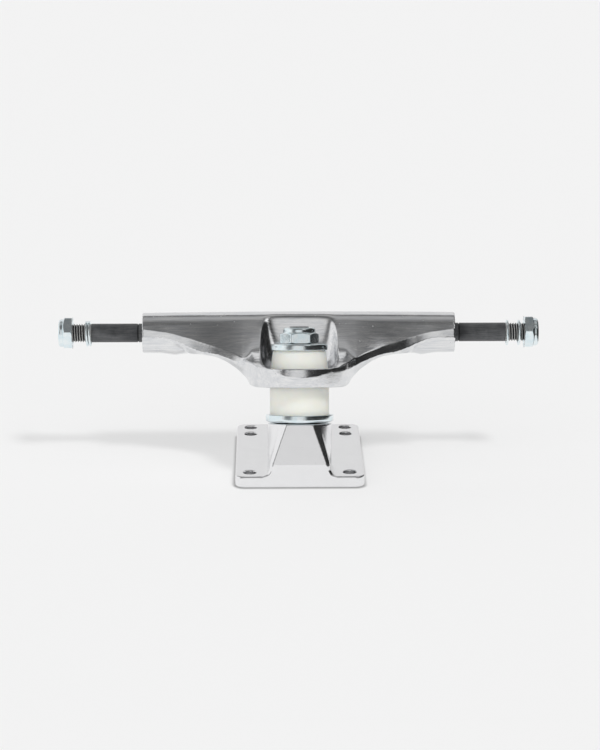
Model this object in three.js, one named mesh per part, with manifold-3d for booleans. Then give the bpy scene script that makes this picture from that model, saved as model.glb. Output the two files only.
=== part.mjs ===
// A skateboard truck in millimetres, +Z up. X runs along the axle, -Y is the kingpin side and +Y the
// pivot side. The origin is the centre of the deck face, midway between the outer bolt rows.
import * as THREE from 'three';
import { mergeVertices } from 'three/addons/utils/BufferGeometryUtils.js';
import Module from 'manifold-3d';

const wasm = await Module();
wasm.setup();

// Fits shared by every piece
const gap = 0.3; // clearance between neighbours
const overrun = 2; // how far a cut runs past what it cuts
const roundSides = 48; // faces round a large turned piece
const smallSides = 24; // faces round a small one

// Baseplate
const plateWidth = 53.5;
const plateThickness = 5;
const plateCornerRadius = 4;
const plateEdgeRound = 0.7;
const boltSpacingAcross = 41.275;
const boltSpacingOuter = 63.5;
const boltRowStep = 9.525; // between the two rear bolt rows
const boltHoleDiameter = 5.2;
const frontMargin = 6.55; // front bolt row to the plate's front edge
const backMargin = 4.95; // rear bolt row to the plate's back edge

// Kingpin tower and its front buttress
const kingpinTiltDegrees = 14; // the top leans towards the pivot
const seatHeight = 23.35; // tower seat above the deck, on the kingpin's axis
const seatSetback = 16.1; // seat centre behind the plate's front edge
const towerRadius = 13.3;
const buttressTopWidth = 10.6;
const buttressLowWidth = 22.6;
const buttressFootWidth = 30.4;
const buttressTopBevel = 2.6;
const buttressLowBevel = 1.1;
const buttressFootBevel = 0.4;
const buttressBend = 5; // from the plate's top up to where the face leans back
const buttressFlare = 2.4; // height of the flared foot

// Kingpin
const kingpinDiameter = 9.525;
const kingpinHeadDiameter = 16;
const kingpinHeadHeight = 5;
const kingpinStandOut = 0.4; // tip above the nut
const kingpinChamfer = 0.8;

// Cup washers
const bottomWasherRadius = 14.1;
const bottomWasherFloor = 1.8;
const bottomWasherHeight = 3.2;
const bottomWasherFlat = 11.9; // radius of the flat underside
const bottomWasherRound = 1.4; // height of the rounded edge under the straight side
const topWasherRadius = 11.8;
const topWasherFloor = 1.6;
const topWasherHeight = 2.6;
const topWasherLip = 0.85;
const topWasherRound = 0.6;

// Bushings
const bottomBushingRadius = 12.3;
const bottomBushingHeight = 14.1;
const topBushingRadius = 11.9; // at the hanger
const topBushingSmallRadius = 11; // under the washer
const topBushingHeight = 10.25;
const bushingEdge = 0.5;

// Hanger
const hangerLength = 132.5;
const barrelRadius = 8.5;
const barrelCrown = 0.5; // extra radius at mid length
const barrelPad = 0.8; // swell under the barrel near each end
const axleHeight = 53.5; // above the deck face
const axleSetback = 33.1; // behind the tower's seat
const creaseRise = 3.6; // crease above the axle at the hanger's ends
const creaseLift = 2.5; // crease above the ring's top where the yoke meets the wings
const creaseBand = 3.6; // height of the narrow band under the crease
const bandLeanDegrees = 12; // the band's foot is further forward than the crease
const faceLeanDegrees = 49; // the yoke's face leans back from upright by this
const ledgeSlopeDegrees = 4; // rise of the ledge from the crease back to the face
const ledgeSettle = 0.8; // how softly the ledge runs out on the wing
const ringRadius = 17.6;
const ringThickness = 7.9;
const upperSeatDepth = 2.5;
const lowerSeatDepth = 1.8;
const ringBoreRadius = 8;
const yokeCheek = 2.9; // yoke half width beyond the ring
const yokeLip = 0.3; // yoke in front of the ring
const yokeDraft = 0.1; // the yoke's lower edge behind the band's foot
const yokeSweep = 1.1; // the yoke's lower edge rises by this at its sides
const lipStock = 0.3; // body above the ring's top, which the pocket trims
const ringFootDraft = 1.4; // how much smaller the ring is at its underside
const pocketWidth = 31.2; // at the ring's top
const pocketTopWidth = 32.4; // at the barrel's top
const pocketBack = 15.75; // back wall behind the kingpin's axis at the ring's top
const pocketTopBack = 19.57; // the same at the barrel's top
const pocketRound = 10; // depth of the rounded back of the pocket

// Pivot
const pivotHeight = 17;
const pivotInset = 11.25; // pivot's centre in front of the rear bolt row
const noseRadius = 5;
const noseLength = 6; // straight taper inside the cup
const noseRootRadius = 7.2;
const noseTipReach = 2.6; // tip beyond the pivot's centre
const cupWall = 1.6;
const cupFloor = 1.6;
const cupRim = 0.8; // how far the cup stands out of its housing
const housingWall = 2.3;
const housingRibThickness = 6;

// Axle, its nuts and its speed rings
const axleLength = 203.2;
const axleDiameter = 7.94;
const axleThreadDiameter = 7.8;
const axleThreadLength = 13.6;
const axleChamfer = 0.7;
const axleNutFlats = 12.7;
const axleNutHexHeight = 3.8;
const axleNutCollarHeight = 2;
const axleNutStandOut = 0.3; // outer face beyond the axle's end
const axleNutTurnDegrees = { left: 16, right: -16 };
const kingpinNutFlats = 14.29;
const kingpinNutHexHeight = 4.3;
const kingpinNutCollarHeight = 2.2;
const kingpinNutTurnDegrees = 35;
const insertWall = 0.75;
const collarWall = 0.6;
const collarRoll = 0.5; // thickness of the collar's rolled end
const speedRingDiameter = 10.8;
const speedRingThickness = 0.85;
const speedRingPlay = 0.6; // radial play on the axle
const speedRingDrop = 0.25; // how far a loose ring hangs below the axle's centre
const speedRingSpacing = 0.35; // between the two left rings
const rightRingInset = 7.4; // right outer ring's outer face from the axle's end

// Places worked out from the sizes above
const kingpinTilt = THREE.MathUtils.degToRad(kingpinTiltDegrees);
const plateFront = -boltSpacingOuter / 2 - frontMargin;
const plateBack = boltSpacingOuter / 2 + backMargin;
const kingpinRadius = kingpinDiameter / 2;
const axleRadius = axleDiameter / 2;
const kingpinAxis = new THREE.Vector3(0, Math.sin(kingpinTilt), Math.cos(kingpinTilt));
const seatCentre = new THREE.Vector3(0, plateFront + seatSetback, seatHeight);
const axleCentre = new THREE.Vector3(0, seatCentre.y + axleSetback, axleHeight);

// Heights along the kingpin's axis, counted from the tower's seat
const stack = {};
stack.bottomWasher = gap;
stack.bottomBushing = stack.bottomWasher + bottomWasherFloor + gap;
stack.lowerSeat = stack.bottomBushing + bottomBushingHeight + gap;
stack.ringBottom = stack.lowerSeat - lowerSeatDepth;
stack.ringTop = stack.ringBottom + ringThickness;
stack.upperSeat = stack.ringTop - upperSeatDepth;
stack.topBushing = stack.upperSeat + gap;
stack.topWasher = stack.topBushing + topBushingHeight + gap;
stack.nut = stack.topWasher + topWasherFloor + gap;
stack.nutTop = stack.nut + kingpinNutHexHeight + kingpinNutCollarHeight;
stack.tip = stack.nutTop + kingpinStandOut;

// Frames: the kingpin's has Z up the kingpin; the steering frame has Z from the ring to the pivot
const kingpinFrame = new THREE.Matrix4().makeRotationX(-kingpinTilt).setPosition(seatCentre);
const ringCentre = onKingpin((stack.ringBottom + stack.ringTop) / 2);
const pivotCentre = new THREE.Vector3(0, boltSpacingOuter / 2 - pivotInset, pivotHeight);
const steerVector = pivotCentre.clone().sub(ringCentre);
const steerLength = steerVector.length();
const steerPitch = Math.atan2(steerVector.y, steerVector.z);
const steerFrame = new THREE.Matrix4().makeRotationX(-steerPitch).setPosition(ringCentre);
const noseTip = steerLength + noseTipReach;
const noseMouth = noseTip - noseTipReach - noseLength;
const cupRadius = noseRootRadius - noseTipReach / 2 + gap + cupWall;
const housingRadius = cupRadius + gap + housingWall;
const cupEnd = noseTip + gap + cupFloor;
const housingEnd = cupEnd + gap + cupFloor;
const housingMouth = noseMouth + cupRim;

function onKingpin(height) {
  return seatCentre.clone().addScaledVector(kingpinAxis, height);
}

function onSteerAxis(distance) {
  return ringCentre.clone().addScaledVector(steerVector, distance / steerLength);
}

function lerp(from, to, share) {
  return from + (to - from) * share;
}

// Turns a closed skin's faces outwards
function facingOut(geometry) {
  const position = geometry.attributes.position;
  const index = geometry.index.array;
  const [a, b, c] = [new THREE.Vector3(), new THREE.Vector3(), new THREE.Vector3()];
  let volume = 0;
  for (let i = 0; i < index.length; i += 3) {
    a.fromBufferAttribute(position, index[i]);
    b.fromBufferAttribute(position, index[i + 1]);
    c.fromBufferAttribute(position, index[i + 2]);
    volume += a.dot(b.cross(c));
  }
  for (let i = 0; volume < 0 && i < index.length; i += 3) {
    [index[i], index[i + 1]] = [index[i + 1], index[i]];
  }
  return geometry;
}

// One skin with shared corners, ready for a cut or a join
function closed(geometry) {
  const bare = geometry.clone();
  bare.deleteAttribute('normal');
  bare.deleteAttribute('uv');
  return facingOut(mergeVertices(bare));
}

function solidOf(geometry, frame = new THREE.Matrix4()) {
  const skin = closed(geometry).applyMatrix4(frame);
  const vertProperties = new Float32Array(skin.attributes.position.array);
  const triVerts = new Uint32Array(skin.index.array);
  return new wasm.Manifold(new wasm.Mesh({ numProp: 3, vertProperties, triVerts }));
}

function geometryOf(solid) {
  const { vertProperties, triVerts } = solid.getMesh();
  const geometry = new THREE.BufferGeometry();
  geometry.setAttribute('position', new THREE.BufferAttribute(new Float32Array(vertProperties), 3));
  geometry.setIndex(new THREE.BufferAttribute(new Uint32Array(triVerts), 1));
  geometry.computeVertexNormals();
  return geometry;
}

// A shape turned about Z from points of radius and height
function turned(points, sides = roundSides) {
  const profile = points.map(([radius, height]) => new THREE.Vector2(radius, height));
  return closed(new THREE.LatheGeometry(profile, sides).rotateX(Math.PI / 2));
}

// The same for a ring, whose profile closes on itself
function turnedRing(points, sides = roundSides) {
  return turned([...points, points[0]], sides);
}

function rod(radius, from, to, sides = roundSides) {
  return turned([[0, from], [radius, from], [radius, to], [0, to]], sides);
}

function box(low, high) {
  const size = high.clone().sub(low);
  const middle = low.clone().add(high).multiplyScalar(0.5);
  return new THREE.BoxGeometry(size.x, size.y, size.z).translate(middle.x, middle.y, middle.z);
}

// Triangles over a flat ring of points, wound the way the ring runs
function capFaces(ring, start) {
  const normal = new THREE.Vector3();
  ring.forEach((point, i) => normal.add(point.clone().cross(ring[(i + 1) % ring.length])));
  normal.normalize();
  const right = ring[1].clone().sub(ring[0]).projectOnPlane(normal).normalize();
  const up = normal.clone().cross(right);
  const flat = ring.map((point) => new THREE.Vector2(point.dot(right), point.dot(up)));
  return THREE.ShapeUtils.triangulateShape(flat, []).map(([i, j, k]) => {
    const turn = flat[j].clone().sub(flat[i]).cross(flat[k].clone().sub(flat[i]));
    return turn > 0 ? [start + i, start + j, start + k] : [start + i, start + k, start + j];
  });
}

// A closed skin through rings of equally many points, capped at both ends
function loft(rings) {
  const count = rings[0].length;
  const positions = rings.flat().flatMap((point) => [point.x, point.y, point.z]);
  const faces = [];
  for (let i = 0; i < rings.length - 1; i++) {
    for (let j = 0; j < count; j++) {
      const [a, b] = [i * count + j, i * count + ((j + 1) % count)];
      faces.push([a, b, b + count], [a, b + count, a + count]);
    }
  }
  const last = (rings.length - 1) * count;
  capFaces(rings[0], 0).forEach(([a, b, c]) => faces.push([a, c, b]));
  capFaces(rings[rings.length - 1], last).forEach((face) => faces.push(face));
  const geometry = new THREE.BufferGeometry();
  geometry.setAttribute('position', new THREE.Float32BufferAttribute(positions, 3));
  geometry.setIndex(faces.flat());
  return facingOut(geometry);
}

// A side view outline, points of Y and Z, carried across X
function acrossX(points, halfWidth) {
  const ring = (x) => points.map(([y, z]) => new THREE.Vector3(x, y, z));
  return loft([ring(-halfWidth), ring(halfWidth)]);
}

const zincColour = 0xc9dbe2;
const materials = {
  castAluminium: { color: 0xd2d1d4, roughness: 0.45, metalness: 0.9 },
  polishedAluminium: { color: 0xb9b9bc, roughness: 0.25, metalness: 1 },
  zincSteel: { color: zincColour, roughness: 0.2, metalness: 1 },
  blackSteel: { color: 0x3a3d3e, roughness: 0.4, metalness: 0.9 },
  urethane: { color: 0xeceadf, roughness: 0.45, metalness: 0 },
  nylon: { color: 0xe6e7e4, roughness: 0.5, metalness: 0 },
  cupPlastic: { color: 0x2b2c2e, roughness: 0.5, metalness: 0 },
};

function piece(name, geometry, look) {
  const mesh = new THREE.Mesh(geometry, new THREE.MeshStandardMaterial(materials[look]));
  mesh.name = name;
  return mesh;
}

// Baseplate

function plateSlab() {
  const [halfWidth, radius] = [plateWidth / 2 - plateEdgeRound, plateCornerRadius];
  const [front, back] = [plateFront + plateEdgeRound, plateBack - plateEdgeRound];
  const outline = new THREE.Shape();
  outline.absarc(halfWidth - radius, back - radius, radius, 0, Math.PI / 2);
  outline.absarc(-halfWidth + radius, back - radius, radius, Math.PI / 2, Math.PI);
  outline.absarc(-halfWidth + radius, front + radius, radius, Math.PI, Math.PI * 1.5);
  outline.absarc(halfWidth - radius, front + radius, radius, Math.PI * 1.5, Math.PI * 2);
  const slab = new THREE.ExtrudeGeometry(outline, {
    depth: plateThickness - 2 * plateEdgeRound,
    bevelThickness: plateEdgeRound,
    bevelSize: plateEdgeRound,
    bevelSegments: 3,
    curveSegments: 6,
  });
  return solidOf(slab.translate(0, 0, plateEdgeRound));
}

// Where the buttress face stands at a height above the deck
function buttressFaceY(z) {
  const bend = plateThickness + buttressBend;
  return plateFront + Math.max(0, z - bend) * Math.tan(kingpinTilt);
}

// The buttress in level slices: front face, bevel, and straight back into the tower
function buttress() {
  const bend = plateThickness + buttressBend;
  const top = onKingpin(0).z + towerRadius * Math.sin(kingpinTilt);
  const flareShares = [[0, 1], [0.25, 0.62], [0.55, 0.3], [1, 0.1]];
  const slices = [[plateEdgeRound, buttressFootWidth, buttressFootBevel]];
  flareShares.forEach(([rise, spread]) => {
    const width = lerp(buttressLowWidth, buttressFootWidth, spread);
    const bevel = lerp(buttressLowBevel, buttressFootBevel, spread);
    slices.push([plateThickness + rise * buttressFlare, width, bevel]);
  });
  slices.push([bend, buttressLowWidth, buttressLowBevel]);
  slices.push([top, buttressTopWidth, buttressTopBevel]);
  const rings = slices.map(([z, width, bevel]) => {
    const [face, half] = [buttressFaceY(z), width / 2];
    const backHalf = Math.min(half + bevel, towerRadius - gap);
    const corners = [[half, face], [half + bevel, face + bevel], [backHalf, seatCentre.y]];
    const points = corners.map(([x, y]) => new THREE.Vector3(x, y, z));
    return [...points, ...points.map(({ x, y }) => new THREE.Vector3(-x, y, z)).reverse()];
  });
  return solidOf(loft(rings));
}

// The round tower, kept behind the buttress face, above the deck and below the washer's seat
function tower() {
  const reach = towerRadius + overrun;
  const sleeve = solidOf(rod(towerRadius, -seatHeight - reach, reach), kingpinFrame);
  const bend = plateThickness + buttressBend;
  const top = seatHeight + reach;
  const back = seatCentre.y + reach + seatHeight;
  const envelope = [
    [plateFront, plateEdgeRound],
    [plateFront, bend],
    [buttressFaceY(top), top],
    [back, top],
    [back, plateEdgeRound],
  ];
  const above = box(new THREE.Vector3(-plateWidth, -plateWidth, 0),
    new THREE.Vector3(plateWidth, plateWidth, plateWidth));
  return sleeve.intersect(solidOf(acrossX(envelope, reach)))
    .add(buttress())
    .subtract(solidOf(above, kingpinFrame));
}

// The socket for the pivot cup, carried on a foot and a rib
function pivotHousing() {
  const [mouth, end] = [onSteerAxis(housingMouth), onSteerAxis(housingEnd)];
  const across = new THREE.Vector3(0, steerVector.z, -steerVector.y)
    .multiplyScalar(housingRadius / steerLength); // down and forward, square to the steering axis
  const lowCorner = mouth.clone().add(across);
  const highCorner = end.clone().sub(across);
  const foot = [
    [lowCorner.y, 0],
    [lowCorner.y, lowCorner.z],
    [mouth.y, mouth.z],
    [end.y, end.z],
    [plateBack - backMargin / 2, plateThickness],
    [plateBack - backMargin / 2, 0],
  ];
  const rib = [
    [mouth.y, plateThickness / 2],
    [mouth.y, mouth.z],
    [lerp(end.y, highCorner.y, 0.8), lerp(end.z, highCorner.z, 0.8)],
    [plateBack - backMargin / 2, plateThickness],
    [plateBack - backMargin / 2, plateThickness / 2],
  ];
  return solidOf(rod(housingRadius, housingMouth, housingEnd), steerFrame)
    .subtract(solidOf(box(new THREE.Vector3(-plateWidth, -plateWidth, -plateWidth),
      new THREE.Vector3(plateWidth, plateWidth, 0))))
    .add(solidOf(acrossX(foot, housingRadius)))
    .add(solidOf(acrossX(rib, housingRibThickness / 2)));
}

function boltHoles() {
  const bolt = boltHoleDiameter / 2;
  const [front, back] = [-boltSpacingOuter / 2, boltSpacingOuter / 2];
  return [front, back - boltRowStep, back].flatMap((y) => [-1, 1].map((side) => {
    const hole = rod(bolt, -overrun, plateThickness + overrun, smallSides);
    return solidOf(hole.translate(side * boltSpacingAcross / 2, y, 0));
  }));
}

// The head lies just inside the deck face
const headBottom = (kingpinHeadDiameter / 2 * Math.sin(kingpinTilt) + gap - seatHeight)
  / Math.cos(kingpinTilt);
const headTop = headBottom + kingpinHeadHeight;

function baseplate() {
  const recess = rod(kingpinHeadDiameter / 2 + gap, -seatHeight * 2, headTop + gap);
  const bore = rod(kingpinRadius + gap, headBottom, overrun, smallSides);
  const socket = rod(cupRadius + gap, housingMouth - overrun, cupEnd + gap);
  let solid = plateSlab().add(tower()).add(pivotHousing())
    .subtract(solidOf(recess, kingpinFrame))
    .subtract(solidOf(bore, kingpinFrame))
    .subtract(solidOf(socket, steerFrame));
  boltHoles().forEach((hole) => {
    solid = solid.subtract(hole);
  });
  return piece('baseplate', geometryOf(solid), 'castAluminium');
}

// Pieces on the kingpin, each turned about its axis

function kingpin() {
  const shape = turned([
    [0, headBottom],
    [kingpinHeadDiameter / 2, headBottom],
    [kingpinHeadDiameter / 2, headTop],
    [kingpinRadius, headTop],
    [kingpinRadius, stack.tip - kingpinChamfer],
    [kingpinRadius - kingpinChamfer, stack.tip],
    [0, stack.tip],
  ], smallSides);
  return piece('kingpin', shape, 'blackSteel');
}

function bottomWasher() {
  const lipInner = bottomBushingRadius + gap;
  const curveShares = [0.25, 0.5, 0.75];
  const curve = curveShares.map((share) => {
    const angle = share * Math.PI / 2;
    return [
      lerp(bottomWasherFlat, bottomWasherRadius, Math.sin(angle)),
      bottomWasherRound * (1 - Math.cos(angle)),
    ];
  });
  const shape = turnedRing([
    [kingpinRadius + gap, 0],
    [bottomWasherFlat, 0],
    ...curve,
    [bottomWasherRadius, bottomWasherRound],
    [bottomWasherRadius, bottomWasherHeight],
    [lipInner, bottomWasherHeight],
    [lipInner, bottomWasherFloor],
    [kingpinRadius + gap, bottomWasherFloor],
  ]);
  const mesh = piece('bottom_washer', shape, 'zincSteel');
  mesh.position.z = stack.bottomWasher;
  return mesh;
}

function bottomBushing() {
  const radius = bottomBushingRadius;
  const shape = turnedRing([
    [kingpinRadius + gap, 0],
    [radius - bushingEdge, 0],
    [radius, bushingEdge],
    [radius, bottomBushingHeight - bushingEdge],
    [radius - bushingEdge, bottomBushingHeight],
    [kingpinRadius + gap, bottomBushingHeight],
  ]);
  const mesh = piece('bottom_bushing', shape, 'urethane');
  mesh.position.z = stack.bottomBushing;
  return mesh;
}

function topBushing() {
  const shoulder = topBushingHeight - (topWasherHeight - topWasherFloor);
  const neck = topWasherRadius - topWasherLip - gap;
  const shape = turnedRing([
    [kingpinRadius + gap, 0],
    [topBushingRadius - bushingEdge, 0],
    [topBushingRadius, bushingEdge],
    [topBushingRadius, upperSeatDepth],
    [topBushingSmallRadius, shoulder - gap],
    [neck, shoulder - gap],
    [neck, topBushingHeight],
    [kingpinRadius + gap, topBushingHeight],
  ]);
  const mesh = piece('top_bushing', shape, 'urethane');
  mesh.position.z = stack.topBushing;
  return mesh;
}

function topWasher() {
  const lipInner = topWasherRadius - topWasherLip;
  const lip = topWasherFloor - topWasherHeight;
  const shape = turnedRing([
    [kingpinRadius + gap, 0],
    [lipInner, 0],
    [lipInner, lip],
    [topWasherRadius, lip],
    [topWasherRadius, topWasherFloor - topWasherRound],
    [topWasherRadius - topWasherRound, topWasherFloor],
    [kingpinRadius + gap, topWasherFloor],
  ]);
  const mesh = piece('top_washer', shape, 'zincSteel');
  mesh.position.z = stack.topWasher;
  return mesh;
}

// Lock nuts: a hex with chamfered corners, a round collar and the nylon ring it holds

function lockNut({ flats, hexHeight, collarHeight, bore }) {
  const insertOuter = bore + insertWall;
  const cavity = insertOuter + gap;
  const collarOuter = cavity + collarWall;
  const corner = flats / Math.sqrt(3);
  const chamfer = (corner - flats / 2) / 2;
  const hex = new THREE.CylinderGeometry(corner, corner, hexHeight, 6)
    .rotateX(Math.PI / 2).translate(0, 0, hexHeight / 2);
  const blank = turned([
    [0, 0],
    [flats / 2, 0],
    [corner, chamfer],
    [corner, hexHeight - chamfer],
    [flats / 2, hexHeight],
    [0, hexHeight],
  ]);
  const top = hexHeight + collarHeight;
  const seat = hexHeight * 0.75;
  const collar = turned([
    [0, seat],
    [collarOuter, seat],
    [collarOuter, top - collarWall * 2],
    [collarOuter - collarWall / 2, top - collarWall / 2],
    [collarOuter - collarWall * 1.5, top],
    [0, top],
  ], smallSides);
  const bores = turned([
    [0, -overrun],
    [bore, -overrun],
    [bore, hexHeight],
    [cavity, hexHeight],
    [cavity, top - collarRoll],
    [lerp(bore, cavity, 0.5), top - collarRoll],
    [lerp(bore, cavity, 0.5), top + overrun],
    [0, top + overrun],
  ], smallSides);
  const insert = turnedRing([
    [bore, hexHeight + gap],
    [insertOuter, hexHeight + gap],
    [insertOuter, top - collarRoll - gap],
    [bore, top - collarRoll - gap],
  ], smallSides);
  const nut = solidOf(hex).intersect(solidOf(blank)).add(solidOf(collar)).subtract(solidOf(bores));
  return { nut: geometryOf(nut), insert };
}

function kingpinNut() {
  const { nut, insert } = lockNut({
    flats: kingpinNutFlats,
    hexHeight: kingpinNutHexHeight,
    collarHeight: kingpinNutCollarHeight,
    bore: kingpinRadius + gap,
  });
  const group = new THREE.Group();
  group.add(piece('kingpin_nut', nut, 'zincSteel'), piece('kingpin_nut_insert', insert, 'nylon'));
  group.position.z = stack.nut;
  group.rotation.z = THREE.MathUtils.degToRad(kingpinNutTurnDegrees);
  return group;
}

// Hanger

const halfHanger = hangerLength / 2;
const yokeHalfWidth = ringRadius + yokeCheek;
const barrelFront = axleCentre.y - barrelRadius;
const yokeFrontY = onKingpin(stack.ringTop).y - ringRadius * Math.cos(kingpinTilt) - yokeLip;
const creaseEnd = axleHeight + creaseRise;
const bandLean = Math.tan(THREE.MathUtils.degToRad(bandLeanDegrees));
const faceLean = THREE.MathUtils.degToRad(faceLeanDegrees);
const ledgeSlope = Math.tan(THREE.MathUtils.degToRad(ledgeSlopeDegrees));

// Height of the plane square to the kingpin at a place on the kingpin's axis
function levelAt(height, y) {
  const centre = onKingpin(height);
  return centre.z - (y - centre.y) * Math.tan(kingpinTilt);
}

// Rows across the yoke, by share of its half width: how far forward the crease reaches there, its
// lift over the ring's top, the band under it, and the rise of the lower edge
const yokeShares = [
  [0, 1, 0, 1, 0],
  [0.29, 0.973, 0, 0.83, 0],
  [0.49, 0.919, 0, 0.46, 0],
  [0.634, 0.856, 0, 0.28, 0],
  [0.77, 0.77, 0, 0.26, 0],
  [0.854, 0.698, 0.4, 0.46, 0],
  [0.937, 0.602, 0.72, 0.62, 0.3],
  [1, 0.506, 0.9, 0.72, 1],
];

// Rows along a wing, by share of its length: crease forward and down, the band under it, lower edge
// forward and down, heel of the underside, and the pad under the barrel
const wingShares = [
  [0.033, 0.406, 1.026, 0.725, 0.383, 0.937, 0.5, 0],
  [0.066, 0.326, 1.03, 0.71, 0.297, 0.887, 0.25, 0],
  [0.109, 0.283, 0.964, 0.736, 0.229, 0.8, 0.1, 0],
  [0.164, 0.242, 0.879, 0.8, 0.181, 0.7, 0, 0],
  [0.24, 0.197, 0.786, 0.767, 0.14, 0.579, 0, 0],
  [0.339, 0.145, 0.657, 0.858, 0.1, 0.483, 0, 0],
  [0.459, 0.097, 0.514, 1.067, 0.047, 0.455, 0, 0],
  [0.557, 0.061, 0.381, 1.02, -0.009, 0.469, 0, 0],
  [0.634, 0.04, 0.3, 0.83, -0.049, 0.342, 0, 0.35],
  [0.699, 0.023, 0.222, 0.71, -0.031, 0.28, 0, 1],
  [0.765, 0.011, 0.149, 0.656, -0.022, 0.237, 0, 0.5],
  [0.842, 0.003, 0.091, 0.71, -0.014, 0.19, 0, 0],
  [1, -0.018, 0, 0.953, -0.014, 0.19, 0, 0],
];

const barrelSteps = 24;
const faceSteps = 6;
const footRoundShare = 0.15; // share of the face that its rounded foot takes up

// One slice of the hanger at x: barrel top and back, underside, lower edge, band, crease and front face
function hangerSlice({ x, crease, band, edge, heelShare, padShare }) {
  const radius = barrelRadius + barrelCrown * (1 - (x / halfHanger) ** 2);
  const angleTo = ([y, z]) => Math.atan2(z - axleCentre.z, axleCentre.y - y);
  const reachTo = ([y, z]) => Math.max(radius, Math.hypot(z - axleCentre.z, axleCentre.y - y));
  const onBarrel = (angle) => [
    axleCentre.y - radius * Math.cos(angle),
    axleCentre.z + radius * Math.sin(angle),
  ];
  const settle = 0.06; // keeps the skin's corners apart where an edge lies on the barrel
  const foot = faceFoot(crease, onBarrel(faceLean));
  const faceAngle = angleTo(foot) + Math.acos(radius / reachTo(foot)) + settle;
  const endAngle = 2 * Math.PI + angleTo(edge) - Math.acos(radius / reachTo(edge)) - settle;
  const ring = [];
  for (let i = 0; i <= barrelSteps; i++) {
    const angle = lerp(faceAngle, endAngle, i / barrelSteps);
    const [y, z] = onBarrel(angle);
    const down = Math.max(0, -Math.sin(angle)) ** 4;
    ring.push([y, z - barrelPad * padShare * down]);
  }
  const [lastY, lastZ] = ring[barrelSteps];
  const heelY = onKingpin(stack.ringBottom).y + ringRadius * Math.cos(kingpinTilt);
  ring.push([
    lerp((lastY + edge[0]) / 2, heelY, heelShare),
    lerp((lastZ + edge[1]) / 2, levelAt(stack.ringBottom, heelY), heelShare),
  ]);
  ring.push(edge, footOf(crease, band), crease);
  ring.push(...faceCurve(crease, foot, onBarrel(faceAngle)));
  return ring.map(([y, z]) => new THREE.Vector3(x, y, z));
}

// The foot of the band that starts at the crease
function footOf([y, z], band) {
  return [y - band * bandLean, z - band];
}

// The foot of the front face: a ledge sets it back from the crease on the yoke, but not on the wings
function faceFoot([y, z], [topY, topZ]) {
  const steepness = 1 / Math.tan(faceLean);
  const over = z - (topZ + (y - topY) * steepness); // crease above the yoke's face
  const ledge = over / (steepness - ledgeSlope);
  const settled = (ledge + Math.hypot(ledge, ledgeSettle)) / 2;
  return [y + settled, z + settled * ledgeSlope];
}

// Points between the crease and the barrel
function faceCurve(crease, foot, top) {
  const high = [0, 1].map((k) => lerp(foot[k], top[k], footRoundShare));
  const curve = new THREE.CubicBezierCurve(...[crease, foot, high, top].map((p) => new THREE.Vector2(...p)));
  return curve.getPoints(faceSteps).slice(1, faceSteps).map((p) => [p.x, p.y]);
}

function yokeRow([place, forward, lift, bandShare, sweep]) {
  const y = lerp(barrelFront, yokeFrontY, forward);
  const crease = [y, levelAt(stack.ringTop, y) + lipStock + creaseLift * lift];
  const band = creaseBand * bandShare;
  const edgeY = footOf(crease, band)[0] + yokeDraft;
  const edge = [edgeY, levelAt(stack.ringBottom, edgeY) + yokeSweep * sweep];
  const x = place * yokeHalfWidth;
  return { x, crease, band, edge, heelShare: 1, padShare: 0 };
}

function hangerBody() {
  const rows = yokeShares.map(yokeRow);
  const side = rows[rows.length - 1];
  wingShares.forEach(([place, forward, drop, bandShare, low, lowDrop, heelShare, padShare]) => {
    rows.push({
      x: lerp(yokeHalfWidth, halfHanger, place),
      crease: [lerp(barrelFront, yokeFrontY, forward), lerp(creaseEnd, side.crease[1], drop)],
      band: creaseBand * bandShare,
      edge: [lerp(barrelFront, yokeFrontY, low), lerp(axleHeight, side.edge[1], lowDrop)],
      heelShare,
      padShare,
    });
  });
  const right = rows.map(hangerSlice);
  const left = right.slice(1).map((ring) => ring.map(({ x, y, z }) => new THREE.Vector3(-x, y, z)));
  return solidOf(loft([...left.reverse(), ...right]));
}

// An oval ring of points square to a direction that leans by pitch from straight down to +Y
function ovalRing(centre, pitch, halfWidth, halfDepth) {
  const points = [];
  for (let i = 0; i < smallSides; i++) {
    const angle = (2 * Math.PI * i) / smallSides;
    const across = halfDepth * Math.sin(angle);
    points.push(new THREE.Vector3(
      halfWidth * Math.cos(angle),
      centre.y + across * Math.cos(pitch),
      centre.z + across * Math.sin(pitch),
    ));
  }
  return points;
}

// The arm that drops from under the barrel and turns into the pivot nose
function pivotArm() {
  const root = onSteerAxis(noseMouth - noseRootRadius);
  const start = new THREE.Vector3(0, lerp(ringCentre.y, axleCentre.y, 0.85), axleCentre.z);
  const steerSlope = Math.PI - steerPitch; // how far the steering axis leans from straight down
  const armShares = [
    [0, 0, 2.1, 1.05],
    [0.3, 0, 1.75, 1.05],
    [0.55, 0.15, 1.4, 1.08],
    [0.78, 0.5, 1.15, 1.06],
    [1, 1, 1, 1],
  ];
  const rings = armShares.map(([place, lean, width, depth]) => {
    const centre = start.clone().lerp(root, place);
    centre.y -= (1 - place) * place * noseRootRadius;
    return ovalRing(centre, steerSlope * lean, noseRootRadius * width, noseRootRadius * depth);
  });
  const nose = turned([
    [0, noseMouth - noseRootRadius - gap],
    [noseRootRadius, noseMouth - noseRootRadius - gap],
    [noseRootRadius, noseMouth - noseRootRadius / 2],
    [noseRootRadius - noseTipReach / 2, noseMouth],
    [noseRadius, noseTip - noseTipReach],
    [noseRadius * 0.8, noseTip - noseTipReach * 0.4],
    [noseRadius * 0.4, noseTip],
    [0, noseTip],
  ], smallSides);
  return solidOf(loft(rings)).add(solidOf(nose, steerFrame));
}

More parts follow.
